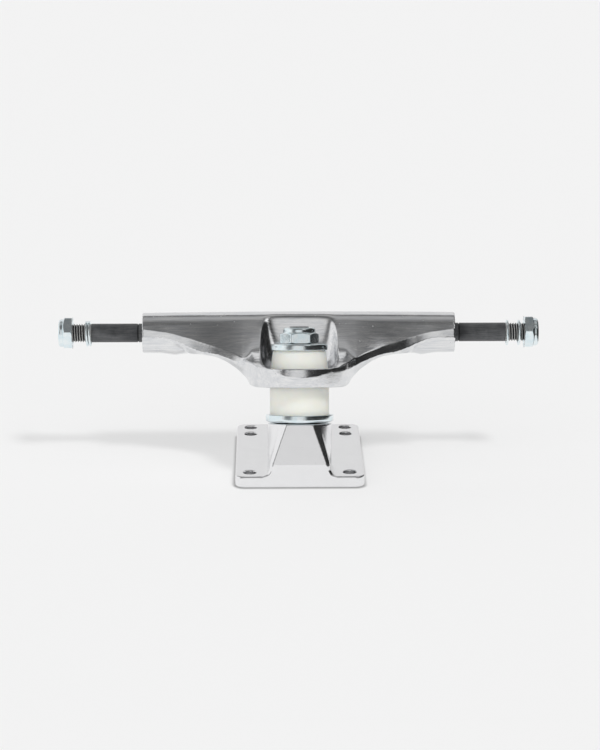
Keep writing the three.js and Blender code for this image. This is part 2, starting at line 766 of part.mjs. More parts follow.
// The scooped pocket round the top bushing, washer and nut, open to the front and the top
function pocket() {
  const barrelTop = new THREE.Vector3(0, axleCentre.y - barrelRadius / 2, axleHeight + barrelRadius);
  const topHeight = barrelTop.clone().sub(seatCentre).dot(kingpinAxis);
  const height = stack.ringTop + (topHeight - stack.ringTop) * 2;
  const squareness = 4.4; // 2 is a half circle, more is squarer
  const steps = 24;
  const outline = (halfWidth, back, level) => {
    const points = [];
    for (let i = 0; i <= steps; i++) {
      const angle = (Math.PI * i) / steps;
      const [cos, sin] = [Math.cos(angle), Math.sin(angle)];
      points.push(new THREE.Vector3(
        halfWidth * Math.sign(cos) * Math.abs(cos) ** (2 / squareness),
        back + pocketRound * (sin ** (2 / squareness) - 1),
        level,
      ));
    }
    const front = [-halfWidth, halfWidth].map((x) => new THREE.Vector3(x, -ringRadius * 3, level));
    return [...points, ...front];
  };
  const rings = [
    outline(pocketWidth / 2, pocketBack, stack.ringTop),
    outline(pocketTopWidth - pocketWidth / 2, pocketTopBack * 2 - pocketBack, height),
  ];
  return solidOf(loft(rings), kingpinFrame);
}

function hanger() {
  const ring = turned([
    [0, stack.ringBottom],
    [ringRadius - ringFootDraft, stack.ringBottom],
    [ringRadius, stack.ringTop],
    [0, stack.ringTop],
  ]);
  const bore = rod(ringBoreRadius, stack.ringBottom - overrun, stack.ringTop + overrun, smallSides);
  const lowerSeat = rod(bottomBushingRadius + gap, stack.ringBottom - ringRadius, stack.lowerSeat);
  const upperSeat = rod(topBushingRadius + gap, stack.upperSeat, stack.ringTop + overrun);
  const axleBore = rod(axleRadius + gap, -hangerLength, hangerLength, smallSides)
    .rotateY(Math.PI / 2).translate(0, axleCentre.y, axleCentre.z);
  const solid = hangerBody()
    .add(solidOf(ring, kingpinFrame))
    .add(pivotArm())
    .subtract(pocket())
    .subtract(solidOf(bore, kingpinFrame))
    .subtract(solidOf(lowerSeat, kingpinFrame))
    .subtract(solidOf(upperSeat, kingpinFrame))
    .subtract(solidOf(axleBore));
  return piece('hanger', geometryOf(solid), 'polishedAluminium');
}

function pivotCup() {
  const inner = [
    [noseRootRadius - noseTipReach / 2 + gap, noseMouth],
    [noseRadius + gap, noseTip - noseTipReach],
    [noseRadius + gap, noseTip + gap],
  ];
  const shape = turned([
    [0, cupEnd],
    [cupRadius, cupEnd],
    [cupRadius, noseMouth],
    ...inner,
    [0, noseTip + gap],
  ], smallSides);
  shape.applyMatrix4(steerFrame);
  return piece('pivot_cup', shape, 'cupPlastic');
}

// Axle and what it carries, in a group whose Z is the axle's own direction

function axle() {
  const [half, thread] = [axleLength / 2, axleThreadDiameter / 2];
  const shoulder = half - axleThreadLength;
  const side = [
    [axleRadius, shoulder],
    [thread, shoulder],
    [thread, half - axleChamfer],
    [thread - axleChamfer, half],
    [0, half],
  ];
  const mirrored = side.map(([radius, height]) => [radius, -height]).reverse();
  return piece('axle', turned([...mirrored, ...side], smallSides), 'blackSteel');
}

// Each side's places are counted outwards from the truck's middle
function axleSide(side, direction) {
  const group = new THREE.Group();
  const half = axleLength / 2;
  const { nut, insert } = lockNut({
    flats: axleNutFlats,
    hexHeight: axleNutHexHeight,
    collarHeight: axleNutCollarHeight,
    bore: axleRadius + gap,
  });
  const nuts = new THREE.Group();
  nuts.add(piece(`${side}_axle_nut`, nut, 'zincSteel'));
  nuts.add(piece(`${side}_axle_nut_insert`, insert, 'nylon'));
  nuts.position.z = half + axleNutStandOut - axleNutHexHeight - axleNutCollarHeight;
  nuts.rotation.z = THREE.MathUtils.degToRad(axleNutTurnDegrees[side]);
  group.add(nuts);
  const inner = half - axleThreadLength + speedRingSpacing;
  const outer = {
    left: inner + speedRingThickness + speedRingSpacing,
    right: half - rightRingInset - speedRingThickness,
  };
  group.add(speedRing(`${side}_inner_ring`, inner, direction));
  group.add(speedRing(`${side}_outer_ring`, outer[side], direction));
  group.rotation.y = direction > 0 ? 0 : Math.PI;
  return group;
}

function speedRing(name, place, direction) {
  const [bore, rim] = [axleRadius + speedRingPlay, speedRingDiameter / 2];
  const shape = turnedRing([
    [bore, 0],
    [rim, 0],
    [rim, speedRingThickness],
    [bore, speedRingThickness],
  ], smallSides);
  const mesh = piece(name, shape, 'zincSteel');
  mesh.position.set(speedRingDrop * direction, 0, place);
  return mesh;
}

const truck = new THREE.Group();
const kingpinGroup = new THREE.Group();
kingpinGroup.position.copy(seatCentre);
kingpinGroup.rotation.x = -kingpinTilt;
kingpinGroup.add(kingpin(), bottomWasher(), bottomBushing(), topBushing(), topWasher(), kingpinNut());

// The axle's group turns its Z to the truck's X, so its own +X points down
const axleGroup = new THREE.Group();
axleGroup.position.copy(axleCentre);
axleGroup.rotation.y = Math.PI / 2;
axleGroup.add(axle(), axleSide('right', 1), axleSide('left', -1));

truck.add(baseplate(), pivotCup(), hanger(), kingpinGroup, axleGroup);

export default truck;
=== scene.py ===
import math

import bpy
import bmesh
import numpy as np
from mathutils import Matrix, Vector
from mathutils.bvhtree import BVHTree
from mathutils.kdtree import KDTree


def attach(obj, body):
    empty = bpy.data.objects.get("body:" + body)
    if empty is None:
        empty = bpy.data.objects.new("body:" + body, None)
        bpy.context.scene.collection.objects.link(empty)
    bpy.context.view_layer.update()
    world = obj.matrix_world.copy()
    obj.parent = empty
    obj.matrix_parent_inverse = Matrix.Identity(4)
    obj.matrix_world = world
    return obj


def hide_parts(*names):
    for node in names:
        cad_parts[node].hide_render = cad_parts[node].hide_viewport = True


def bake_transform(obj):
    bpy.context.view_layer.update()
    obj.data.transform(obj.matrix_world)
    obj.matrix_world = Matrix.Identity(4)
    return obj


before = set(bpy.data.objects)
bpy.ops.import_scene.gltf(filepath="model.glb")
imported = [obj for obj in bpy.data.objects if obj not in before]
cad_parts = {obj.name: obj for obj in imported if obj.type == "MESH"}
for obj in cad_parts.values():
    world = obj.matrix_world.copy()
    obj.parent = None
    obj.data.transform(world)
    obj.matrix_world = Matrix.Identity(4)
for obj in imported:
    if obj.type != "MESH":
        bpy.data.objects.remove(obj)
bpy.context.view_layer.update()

MM = 0.001

# Sizes in millimetres, the same as in the CAD
GAP = 0.3
OVERRUN = 2.0
BEYOND = 80

PLATE_WIDTH = 53.5
PLATE_THICKNESS = 5.0
PLATE_CORNER = 4.0
PLATE_EDGE = 0.7
PLATE_FRONT = -38.3
PLATE_BACK = 36.7
BOLT_X = 41.275 / 2
BOLT_ROWS = (-31.75, 22.225, 31.75)
BOLT_HOLE = 5.2
BACK_MARGIN = 4.95

TILT = math.radians(14)
SEAT = (0.0, -22.2, 23.35)
TOWER_RADIUS = 13.3
BUTTRESS_TOP_WIDTH = 10.6
BUTTRESS_LOW_WIDTH = 22.6
BUTTRESS_FOOT_WIDTH = 30.4
BUTTRESS_TOP_BEVEL = 2.6
BUTTRESS_LOW_BEVEL = 1.1
BUTTRESS_FOOT_BEVEL = 0.4
BUTTRESS_BEND = 5.0
BUTTRESS_FLARE = 2.4
FLARE_END = 0.1
FLARE_HOLLOW = 0.45
FLARE_CURVE = 0.8

KINGPIN_RADIUS = 9.525 / 2
HEAD_RADIUS = 8.0
HEAD_HEIGHT = 5.0
KINGPIN_CHAMFER = 0.8

BOTTOM_WASHER_RADIUS = 14.1
BOTTOM_WASHER_FLOOR = 1.8
BOTTOM_WASHER_HEIGHT = 3.2
BOTTOM_WASHER_FLAT = 11.9
BOTTOM_WASHER_ROUND = 1.4
TOP_WASHER_RADIUS = 11.8
TOP_WASHER_FLOOR = 1.6
TOP_WASHER_HEIGHT = 2.6
TOP_WASHER_LIP = 0.85

BOTTOM_BUSHING_RADIUS = 12.3
BOTTOM_BUSHING_HEIGHT = 14.1
TOP_BUSHING_RADIUS = 11.9
TOP_BUSHING_SMALL = 11.0
TOP_BUSHING_HEIGHT = 10.25

HALF_HANGER = 132.5 / 2
BARREL_RADIUS = 8.5
BARREL_CROWN = 0.5
BARREL_PAD = 0.8
AXLE = (0.0, 10.9, 53.5)
CREASE_RISE = 3.6
CREASE_LIFT = 2.5
CREASE_BAND = 3.6
BAND_LEAN = math.tan(math.radians(12))
BAND_EXTRA = 0.45
CORNER_LEAN = math.tan(math.radians(24))
CORNER_RUN = 4.5
RING_RADIUS = 17.6
RING_THICKNESS = 7.9
UPPER_SEAT_DEPTH = 2.5
LOWER_SEAT_DEPTH = 1.8
RING_BORE = 8.0
YOKE_CHEEK = 2.9
YOKE_LIP = 0.3
YOKE_DRAFT = 0.1
YOKE_SWEEP = 1.1
LIP_STOCK = 0.3
RING_FOOT_DRAFT = 1.4
POCKET_WIDTH = 31.2
POCKET_TOP_WIDTH = 32.4
POCKET_BACK = 15.75
POCKET_TOP_BACK = 19.57
POCKET_FLOOR_ROUND = 15.0
POCKET_FLOOR_SQUARENESS = 2.3
POCKET_TOP_ROUND = 8.0
POCKET_TOP_SQUARENESS = 5.5
POCKET_FILLET = 5.0
POCKET_FILLET_SHARE = 0.55

PIVOT = (0.0, 20.5, 17.0)
NOSE_RADIUS = 5.0
NOSE_LENGTH = 6.0
NOSE_ROOT = 7.2
NOSE_TIP = 2.6
CUP_WALL = 1.6
CUP_FLOOR = 1.6
CUP_RIM = 0.8
HOUSING_WALL = 2.3
HOUSING_RIB = 6.0
HOUSING_FOOT = 0.1
RIB_SHARE = 0.8

HALF_AXLE = 101.6
AXLE_RADIUS = 3.97
THREAD_RADIUS = 3.9
THREAD_LENGTH = 13.6
THREAD_PITCH = 25.4 / 24
THREAD_DEPTH = 0.62
AXLE_CHAMFER = 0.7
AXLE_GROOVE_OUT = 1.9
AXLE_GROOVE_WIDTH = 0.4
AXLE_GROOVE_DEPTH = 0.3
AXLE_NUT = {"flats": 12.7, "hexagon": 3.8, "collar": 2.0, "bore": AXLE_RADIUS + GAP}
AXLE_NUT_STAND_OUT = 0.3
KINGPIN_NUT = {"flats": 14.29, "hexagon": 4.3, "collar": 2.2, "bore": KINGPIN_RADIUS + GAP}
INSERT_WALL = 0.75
COLLAR_WALL = 0.6
COLLAR_ROLL = 0.5
COLLAR_SET_IN = 0.02
NUT_TURN = {"kingpin": 35, "left": 16, "right": -16}
RING_OUTER = 5.4
RING_INNER = AXLE_RADIUS + 0.6
SPEED_RING_THICKNESS = 0.85
SPEED_RING_DROP = 0.25
SPEED_RING_LEAN = {"left": math.radians(-3), "right": 0}
SPEED_RINGS = {  # inner face, outwards from the truck's middle
    "left_inner_ring": 88.35,
    "left_outer_ring": 89.55,
    "right_inner_ring": 88.35,
    "right_outer_ring": 93.35,
}

# Heights along the kingpin's axis from the tower's seat
S_BOTTOM_WASHER = GAP
S_BOTTOM_BUSHING = S_BOTTOM_WASHER + BOTTOM_WASHER_FLOOR + GAP
S_LOWER_SEAT = S_BOTTOM_BUSHING + BOTTOM_BUSHING_HEIGHT + GAP
S_RING_BOTTOM = S_LOWER_SEAT - LOWER_SEAT_DEPTH
S_RING_TOP = S_RING_BOTTOM + RING_THICKNESS
S_UPPER_SEAT = S_RING_TOP - UPPER_SEAT_DEPTH
S_TOP_BUSHING = S_UPPER_SEAT + GAP
S_TOP_WASHER = S_TOP_BUSHING + TOP_BUSHING_HEIGHT + GAP
S_NUT = S_TOP_WASHER + TOP_WASHER_FLOOR + GAP
S_TIP = S_NUT + KINGPIN_NUT["hexagon"] + KINGPIN_NUT["collar"] + 0.4
S_HEAD = (HEAD_RADIUS * math.sin(TILT) + GAP - SEAT[2]) / math.cos(TILT)


def lerp(start, end, share):
    return start + (end - start) * share


def between(start, end, share):
    return tuple(lerp(a, b, share) for a, b in zip(start, end))


def on_kingpin(height):
    return np.array([0, SEAT[1] + height * math.sin(TILT), SEAT[2] + height * math.cos(TILT)])


KINGPIN_FRAME = Matrix.Translation(SEAT) @ Matrix.Rotation(-TILT, 4, "X")
RING_CENTRE = on_kingpin((S_RING_BOTTOM + S_RING_TOP) / 2)
STEER = np.array(PIVOT) - RING_CENTRE
STEER_LENGTH = float(np.linalg.norm(STEER))
STEER_PITCH = math.atan2(STEER[1], STEER[2])
STEER_FRAME = Matrix.Translation(RING_CENTRE) @ Matrix.Rotation(-STEER_PITCH, 4, "X")
NOSE_END = STEER_LENGTH + NOSE_TIP
NOSE_MOUTH = NOSE_END - NOSE_TIP - NOSE_LENGTH
CUP_RADIUS = NOSE_ROOT - NOSE_TIP / 2 + GAP + CUP_WALL
HOUSING_RADIUS = CUP_RADIUS + GAP + HOUSING_WALL
CUP_END = NOSE_END + GAP + CUP_FLOOR
HOUSING_END = CUP_END + GAP + CUP_FLOOR
HOUSING_MOUTH = NOSE_MOUTH + CUP_RIM
AXLE_FRAMES = {
    side: Matrix.Translation(AXLE) @ Matrix.Rotation(math.radians(turn), 4, "Y")
    for side, turn in (("right", 90), ("left", 270))
}


def on_steer(distance):
    return RING_CENTRE + STEER * (distance / STEER_LENGTH)


# Camera and stage. The camera's place and angles follow from the six bolt holes in the photograph.

CAMERA_PLACE = (-12.8, -977.6, 314.5)
CAMERA_PITCH = math.radians(15.806)
CAMERA_YAW = math.radians(-0.778)
CAMERA_ROLL = math.radians(0.03)
CAMERA_SENSOR = 36
CAMERA_LENS = 115.2


def make_camera():
    data = bpy.data.cameras.new("camera")
    data.sensor_width = CAMERA_SENSOR
    data.lens = CAMERA_LENS
    data.clip_start = 0.05
    data.clip_end = 30
    camera = bpy.data.objects.new("camera", data)
    camera.matrix_world = (
        Matrix.Translation(Vector(CAMERA_PLACE) * MM) @ Matrix.Rotation(CAMERA_YAW, 4, "Z")
        @ Matrix.Rotation(math.pi / 2 - CAMERA_PITCH, 4, "X") @ Matrix.Rotation(CAMERA_ROLL, 4, "Z"))
    bpy.context.scene.collection.objects.link(camera)
    bpy.context.scene.camera = camera


def node(tree, kind, inputs=None, **settings):
    made = tree.nodes.new(kind)
    for key, value in settings.items():
        setattr(made, key, value)
    for key, value in (inputs or {}).items():
        if isinstance(value, bpy.types.NodeSocket):
            tree.links.new(value, made.inputs[key])
        else:
            made.inputs[key].default_value = value
    return made


def maths(tree, operation, first, second=None):
    inputs = {0: first} if second is None else {0: first, 1: second}
    return node(tree, "ShaderNodeMath", inputs, operation=operation).outputs[0]


def mix(tree, factor, first, second, blend="MIX"):
    """Mixes two colours, each a socket or three numbers."""
    first, second = ((*colour, 1) if isinstance(colour, tuple) else colour for colour in (first, second))
    inputs = {0: factor, 6: first, 7: second}
    return node(tree, "ShaderNodeMix", inputs, data_type="RGBA", blend_type=blend).outputs[2]


def ramp(tree, factor, stops):
    """A grey ramp through stops of (place, value)."""
    made = node(tree, "ShaderNodeValToRGB", {0: factor})
    elements = made.color_ramp.elements
    while len(elements) < len(stops):
        elements.new(0.5)
    for element, (position, _) in zip(elements, stops):
        element.position = position
    for element, (_, value) in zip(elements, stops):
        element.color = (value, value, value, 1)
    return made.outputs[0]


def remap(tree, value, low, high, to_low, to_high, smooth=False):
    made = node(tree, "ShaderNodeMapRange", {0: value, 1: low, 2: high, 3: to_low, 4: to_high})
    made.interpolation_type = "SMOOTHSTEP" if smooth else "LINEAR"
    return made.outputs[0]


BACKGROUND = 0.879
KEY_DIRECTION = Vector((20.3, -21.9, 53.5)).normalized()
FILL_DIRECTION = Vector((0.05, -1, 0.4)).normalized()
LOW_BOX_DIRECTION = Vector((0.551, -0.462, 0.695)).normalized()

# Lamps by name, direction, strength and spread in degrees
LAMPS = [("key", KEY_DIRECTION, 1.1, 10), ("fill", FILL_DIRECTION, 1.7, 130)]

# Soft boxes that only reflections see: direction, outer and inner radius in degrees, strength
SOFT_BOXES = [(KEY_DIRECTION, 7, 4, 0.8), (LOW_BOX_DIRECTION, 11, 6, 1.1)]

# The studio as polished metal sees it, by azimuth in degrees from the front towards the right
HORIZON = [
    (-180, 0.78), (-135, 0.82), (-110, 0.9), (-66, 0.92), (-57, 0.6), (-51, 0.2), (-36, 0.18), (-30, 0.45),
    (-22, 0.76), (12, 0.74), (18, 0.5), (26, 0.04), (90, 0.025), (140, 0.04), (152, 0.7), (180, 0.78),
]
# The same by angle from the front over the top to the back
OVERHEAD = [
    (0, 0.25), (48, 0.25), (57, 0.18), (67, 0.145), (76, 0.17), (87, 0.3), (97, 0.43), (112, 0.43), (119, 0.2),
    (127, 0.2), (133, 0.85), (180, 0.8),
]
# Heights in degrees between which the first gives way to the second
OVERHEAD_FROM = 34
OVERHEAD_FULL = 48


def make_world():
    world = bpy.data.worlds.new("studio")
    world.use_nodes = True
    tree = world.node_tree
    tree.nodes.clear()
    direction = node(tree, "ShaderNodeTexCoord").outputs["Generated"]
    x, y, z = node(tree, "ShaderNodeSeparateXYZ", {0: direction}).outputs
    front = maths(tree, "MULTIPLY", y, -1)
    azimuth = remap(tree, maths(tree, "ARCTAN2", x, front), -math.pi, math.pi, 0, 1)
    over = remap(tree, maths(tree, "ARCTAN2", z, front), 0, math.pi, 0, 1)
    horizon = ramp(tree, azimuth, [((angle + 180) / 360, value) for angle, value in HORIZON])
    overhead = ramp(tree, over, [(angle / 180, value) for angle, value in OVERHEAD])
    low, high = (math.sin(math.radians(height)) for height in (OVERHEAD_FROM, OVERHEAD_FULL))
    lit = mix(tree, remap(tree, z, low, high, 0, 1, True), horizon, overhead)
    for centre, outer, inner, strength in SOFT_BOXES:
        towards = node(tree, "ShaderNodeVectorMath", {0: direction, 1: centre}, operation="DOT_PRODUCT")
        low, high = (math.cos(math.radians(reach)) for reach in (outer, inner))
        glow = remap(tree, towards.outputs["Value"], low, high, 0, strength, True)
        lit = mix(tree, 1.0, lit, glow, "ADD")
    seen = node(tree, "ShaderNodeLightPath").outputs["Is Camera Ray"]
    colour = mix(tree, seen, lit, (BACKGROUND,) * 3)
    background = node(tree, "ShaderNodeBackground", {0: colour, 1: 1.0})
    node(tree, "ShaderNodeOutputWorld", {0: background.outputs[0]})
    bpy.context.scene.world = world


# Half the floor's width in metres, its own light and its paint
FLOOR_REACH = 7.0
FLOOR_GLOW = 0.452
FLOOR_PAINT = 0.45
# Contact shadow round the plate: its width in millimetres and the share of light left at the plate
SHADOW_WIDTH = 1.6
SHADOW_LIGHT = 0.25
# Painted dark reflection: reflections see the floor as dark past this X in metres, as a black card there would
# make it, though no card is there
DARK_REFLECTION_START = 0.165
DARK_REFLECTION_SOFTNESS = 0.015
DARK_REFLECTION_LIGHT = 0.03


def off_plate(tree, x, y):
    """Distance in metres from the plate's inner rectangle, which its corner rounds are centred on."""
    from_middle = maths(tree, "SUBTRACT", y, (PLATE_FRONT + PLATE_BACK) / 2 * MM)
    squares = []
    for offset, size in ((x, PLATE_WIDTH), (from_middle, PLATE_BACK - PLATE_FRONT)):
        past = maths(tree, "SUBTRACT", maths(tree, "ABSOLUTE", offset), (size / 2 - PLATE_CORNER) * MM)
        squares.append(maths(tree, "POWER", maths(tree, "MAXIMUM", past, 0.0), 2.0))
    return maths(tree, "SQRT", maths(tree, "ADD", *squares))


def make_floor():
    mesh = bpy.data.meshes.new("floor")
    signs = ((-1, -1), (1, -1), (1, 1), (-1, 1))
    mesh.from_pydata([(x * FLOOR_REACH, y * FLOOR_REACH, 0) for x, y in signs], [], [(0, 1, 2, 3)])
    floor = bpy.data.objects.new("floor", mesh)
    bpy.context.scene.collection.objects.link(floor)
    material = bpy.data.materials.new("floor")
    material.use_nodes = True
    tree = material.node_tree
    tree.nodes.clear()
    place = node(tree, "ShaderNodeTexCoord").outputs["Object"]
    x, y, _ = node(tree, "ShaderNodeSeparateXYZ", {0: place}).outputs
    light = remap(tree, off_plate(tree, x, y), PLATE_CORNER * MM, (PLATE_CORNER + SHADOW_WIDTH) * MM,
                  SHADOW_LIGHT * FLOOR_GLOW, FLOOR_GLOW, True)
    glow = node(tree, "ShaderNodeEmission", {0: (1, 1, 1, 1), 1: light})
    paint = node(tree, "ShaderNodeBsdfDiffuse", {0: (FLOOR_PAINT, FLOOR_PAINT, FLOOR_PAINT, 1)})
    both = node(tree, "ShaderNodeAddShader", {0: glow.outputs[0], 1: paint.outputs[0]})
    # Painted dark reflection: past this X, glossy rays see a dim emission instead of the lit floor
    beyond = remap(tree, x, DARK_REFLECTION_START - DARK_REFLECTION_SOFTNESS, DARK_REFLECTION_START + DARK_REFLECTION_SOFTNESS, 0, 1, True)
    mirrored = node(tree, "ShaderNodeLightPath").outputs["Is Glossy Ray"]
    dark_reflection_share = maths(tree, "MULTIPLY", beyond, mirrored)
    dark_reflection = node(tree, "ShaderNodeEmission", {0: (1, 1, 1, 1), 1: DARK_REFLECTION_LIGHT})
    seen = node(tree, "ShaderNodeMixShader", {0: dark_reflection_share, 1: both.outputs[0], 2: dark_reflection.outputs[0]})
    node(tree, "ShaderNodeOutputMaterial", {0: seen.outputs[0]})
    mesh.materials.append(material)


def make_lamp(name, direction, strength, spread):
    data = bpy.data.lights.new(name, "SUN")
    data.energy = strength
    data.angle = math.radians(spread)
    light = bpy.data.objects.new(name, data)
    light.rotation_euler = direction.to_track_quat("Z", "Y").to_euler()
    light.visible_glossy = False
    bpy.context.scene.collection.objects.link(light)


make_camera()
make_world()
make_floor()
for lamp in LAMPS:
    make_lamp(*lamp)
bpy.context.scene.view_settings.view_transform = "Standard"
bpy.context.scene.view_settings.look = "None"


# Materials. A noise's scale is in grains to the metre, a bump's depth in metres.


def new_material(name, **sockets):
    material = bpy.data.materials.new(name)
    material.use_nodes = True
    tree = material.node_tree
    for key, value in sockets.items():
        tree.nodes["Principled BSDF"].inputs[key.replace("_", " ")].default_value = value
    return material, tree, node(tree, "ShaderNodeTexCoord").outputs["Object"]


def spread(tree, place, scale, offset=(0, 0, 0)):
    return node(tree, "ShaderNodeMapping", {"Vector": place, "Scale": scale, "Location": offset}).outputs[0]


def noise(tree, place, scale, detail, roughness, offset=(0, 0, 0)):
    """Noise of one scale, or of one for each axis."""
    scale = scale if isinstance(scale, tuple) else (scale,) * 3
    return node(tree, "ShaderNodeTexNoise", {"Vector": spread(tree, place, scale, offset), "Scale": 1.0,
                                             "Detail": detail, "Roughness": roughness}).outputs[0]


PIT_FLOOR = 0.12
PIT_RIM = 0.3


def pits(tree, place, scale, amount):
    """Sparse round pits, 1 inside and 0 outside."""
    cells = node(tree, "ShaderNodeTexVoronoi", {"Vector": spread(tree, place, (scale,) * 3), "Scale": 1.0})
    near = remap(tree, cells.outputs["Distance"], PIT_FLOOR, PIT_RIM, 1, 0, True)
    pick = node(tree, "ShaderNodeSeparateColor", {0: cells.outputs["Color"]}).outputs[0]
    return maths(tree, "MULTIPLY", near, maths(tree, "GREATER_THAN", pick, 1 - amount))


def weighted(tree, first, first_share, second):
    """Two values added, the second with the share that the first leaves."""
    return maths(tree, "ADD", maths(tree, "MULTIPLY", first, first_share),
                 maths(tree, "MULTIPLY", second, 1 - first_share))


def dress(tree, colour, roughness, layers):
    """Links a colour, a roughness and stacked bump layers of (height, depth, strength)."""
    shader = tree.nodes["Principled BSDF"]
    tree.links.new(colour, shader.inputs["Base Color"])
    tree.links.new(roughness, shader.inputs["Roughness"])
    below = {}
    for height, depth, strength in layers:
        sockets = {"Height": height, "Distance": depth, "Strength": strength, **below}
        bump = node(tree, "ShaderNodeBump", sockets)
        below = {"Normal": bump.outputs[0]}
    tree.links.new(bump.outputs[0], shader.inputs["Normal"])


def polished_aluminium():
    material, tree, place = new_material("polished_aluminium", Metallic=1.0)
    streaks = noise(tree, place, (60, 1900, 1900), 5, 0.7)
    smears = noise(tree, place, (120, 420, 420), 3, 0.6, (3, 1, 7))
    nicks = pits(tree, place, 700, 0.06)
    brushed = remap(tree, weighted(tree, streaks, 0.65, smears), 0.36, 0.62, 0, 1)
    colour = mix(tree, brushed, (0.67, 0.685, 0.71), (0.86, 0.86, 0.86))
    rough = maths(tree, "ADD", remap(tree, streaks, 0.3, 0.7, 0.08, 0.16), maths(tree, "MULTIPLY", nicks, 0.2))
    rough = maths(tree, "ADD", rough, remap(tree, smears, 0.4, 0.75, 0, 0.07))
    dents = maths(tree, "MULTIPLY", nicks, -1.0)
    dress(tree, colour, rough, [(streaks, 0.00005, 0.4), (smears, 0.0003, 0.12), (dents, 0.00006, 0.5)])
    return material


def clouded(name, clouds, grain, colours, rough, bumps, contrast=(0, 1), dents=None, **sockets):
    """Colour and roughness follow soft clouds, with a fine grain and maybe dents in the surface.

    clouds and grain are (scale, detail, roughness) and maybe an offset, bumps the depth and strength of
    the grain and of the clouds, and dents (scale, amount, depth, strength).
    """
    material, tree, place = new_material(name, **sockets)
    cloud = noise(tree, place, *clouds)
    layers = [(height, *bump) for height, bump in zip((noise(tree, place, *grain), cloud), bumps)]
    if dents:
        layers.append((maths(tree, "MULTIPLY", pits(tree, place, *dents[:2]), -1.0), *dents[2:]))
    colour = mix(tree, remap(tree, cloud, *contrast, 0, 1), *colours)
    dress(tree, colour, remap(tree, cloud, 0.3, 0.7, *rough), layers)
    return material


def cast_aluminium():
    return clouded("cast_aluminium", (160, 3, 0.55, (5, 2, 1)), (2600, 4, 0.6),
                   ((0.84, 0.84, 0.85), (0.92, 0.92, 0.93)), (0.14, 0.24), [(0.00005, 0.3), (0.0004, 0.1)],
                   dents=(900, 0.1, 0.00008, 0.5), Metallic=1.0)


def zinc_steel():
    return clouded("zinc_steel", (380, 3, 0.55), (3200, 3, 0.6, (2, 9, 4)),
                   ((0.76, 0.87, 0.91), (0.88, 0.94, 0.955)), (0.12, 0.24), [(0.00003, 0.25), (0.0002, 0.12)],
                   contrast=(0.35, 0.65), Metallic=1.0)


def urethane():
    return clouded("urethane", (180, 3, 0.5), (2400, 3, 0.6, (1, 6, 2)),
                   ((0.79, 0.785, 0.72), (0.84, 0.835, 0.77)), (0.36, 0.5), [(0.00004, 0.3), (0.0003, 0.15)],
                   Subsurface_Weight=0.6, Subsurface_Scale=0.007, Subsurface_Radius=(1.0, 0.8, 0.55))


def plain_plastic(name, dark, light):
    return clouded(name, (260, 3, 0.5), (3000, 2, 0.5, (4, 4, 1)), (dark, light), (0.39, 0.51), [(0.00003, 0.3)])


# Where black steel is painted bright or dark, by distance from the axle's line: the thread's crests are lighter,
# partly as bare worn steel and partly as a painted glint, its roots darker as painted shade, and the groove
# beside the hanger is darkened as painted shade
CREST_SHARE = 0.6
GROOVE_FROM = 0.04
GROOVE_FULL = 0.12
GROOVE_SHADE = 0.15


def black_steel():
    material, tree, place = new_material("black_steel", Metallic=0.6)
    streaks = noise(tree, place, (160, 4200, 4200), 4, 0.7)
    clouds = noise(tree, place, 240, 3, 0.6, (8, 1, 3))
    shade = remap(tree, weighted(tree, streaks, 0.6, clouds), 0.35, 0.65, 0, 1)
    colour = mix(tree, shade, (0.05, 0.052, 0.055), (0.15, 0.153, 0.158))
    x, y, z = node(tree, "ShaderNodeSeparateXYZ", {0: place}).outputs
    off_axle = [maths(tree, "POWER", maths(tree, "SUBTRACT", part, middle * MM), 2.0)
                for part, middle in zip((y, z), AXLE[1:])]
    from_axle = maths(tree, "SQRT", maths(tree, "ADD", *off_axle))
    crest_from = (THREAD_RADIUS - THREAD_DEPTH * CREST_SHARE) * MM
    # Lighter thread crests: bare worn steel together with a painted glint
    crest_glint_and_wear = remap(tree, from_axle, crest_from, THREAD_RADIUS * MM, 0, 1, True)
    # Painted shade at the bottom of the groove beside the hanger
    groove_painted_shade = remap(tree, from_axle, (AXLE_RADIUS - GROOVE_FULL) * MM, (AXLE_RADIUS - GROOVE_FROM) * MM,
                 GROOVE_SHADE, 1, True)
    threaded = maths(tree, "GREATER_THAN", maths(tree, "ABSOLUTE", x), (HALF_AXLE - THREAD_LENGTH) * MM)
    # Thread colour: dark roots as painted shade, light crests as worn steel and a painted glint
    glint_and_wear_colour = mix(tree, crest_glint_and_wear, (0.035, 0.036, 0.038), (0.55, 0.55, 0.54))
    on_bar = maths(tree, "LESS_THAN", from_axle, BARREL_RADIUS * MM)
    bar = mix(tree, on_bar, colour, mix(tree, 1.0, colour, groove_painted_shade, "MULTIPLY"))
    rough = remap(tree, clouds, 0.3, 0.7, 0.34, 0.5)
    dress(tree, mix(tree, threaded, bar, glint_and_wear_colour), rough, [(streaks, 0.00005, 0.4), (clouds, 0.0002, 0.1)])
    return material


MATERIALS = {
    "polished_aluminium": polished_aluminium(),
    "cast_aluminium": cast_aluminium(),
    "zinc_steel": zinc_steel(),
    "black_steel": black_steel(),
    "urethane": urethane(),
    "nylon": plain_plastic("nylon", (0.76, 0.77, 0.74), (0.84, 0.85, 0.82)),
    "cup_plastic": plain_plastic("cup_plastic", (0.016, 0.017, 0.018), (0.03, 0.031, 0.033)),
}


# Mesh tools. Skins are (points, faces) in millimetres until they become a piece.


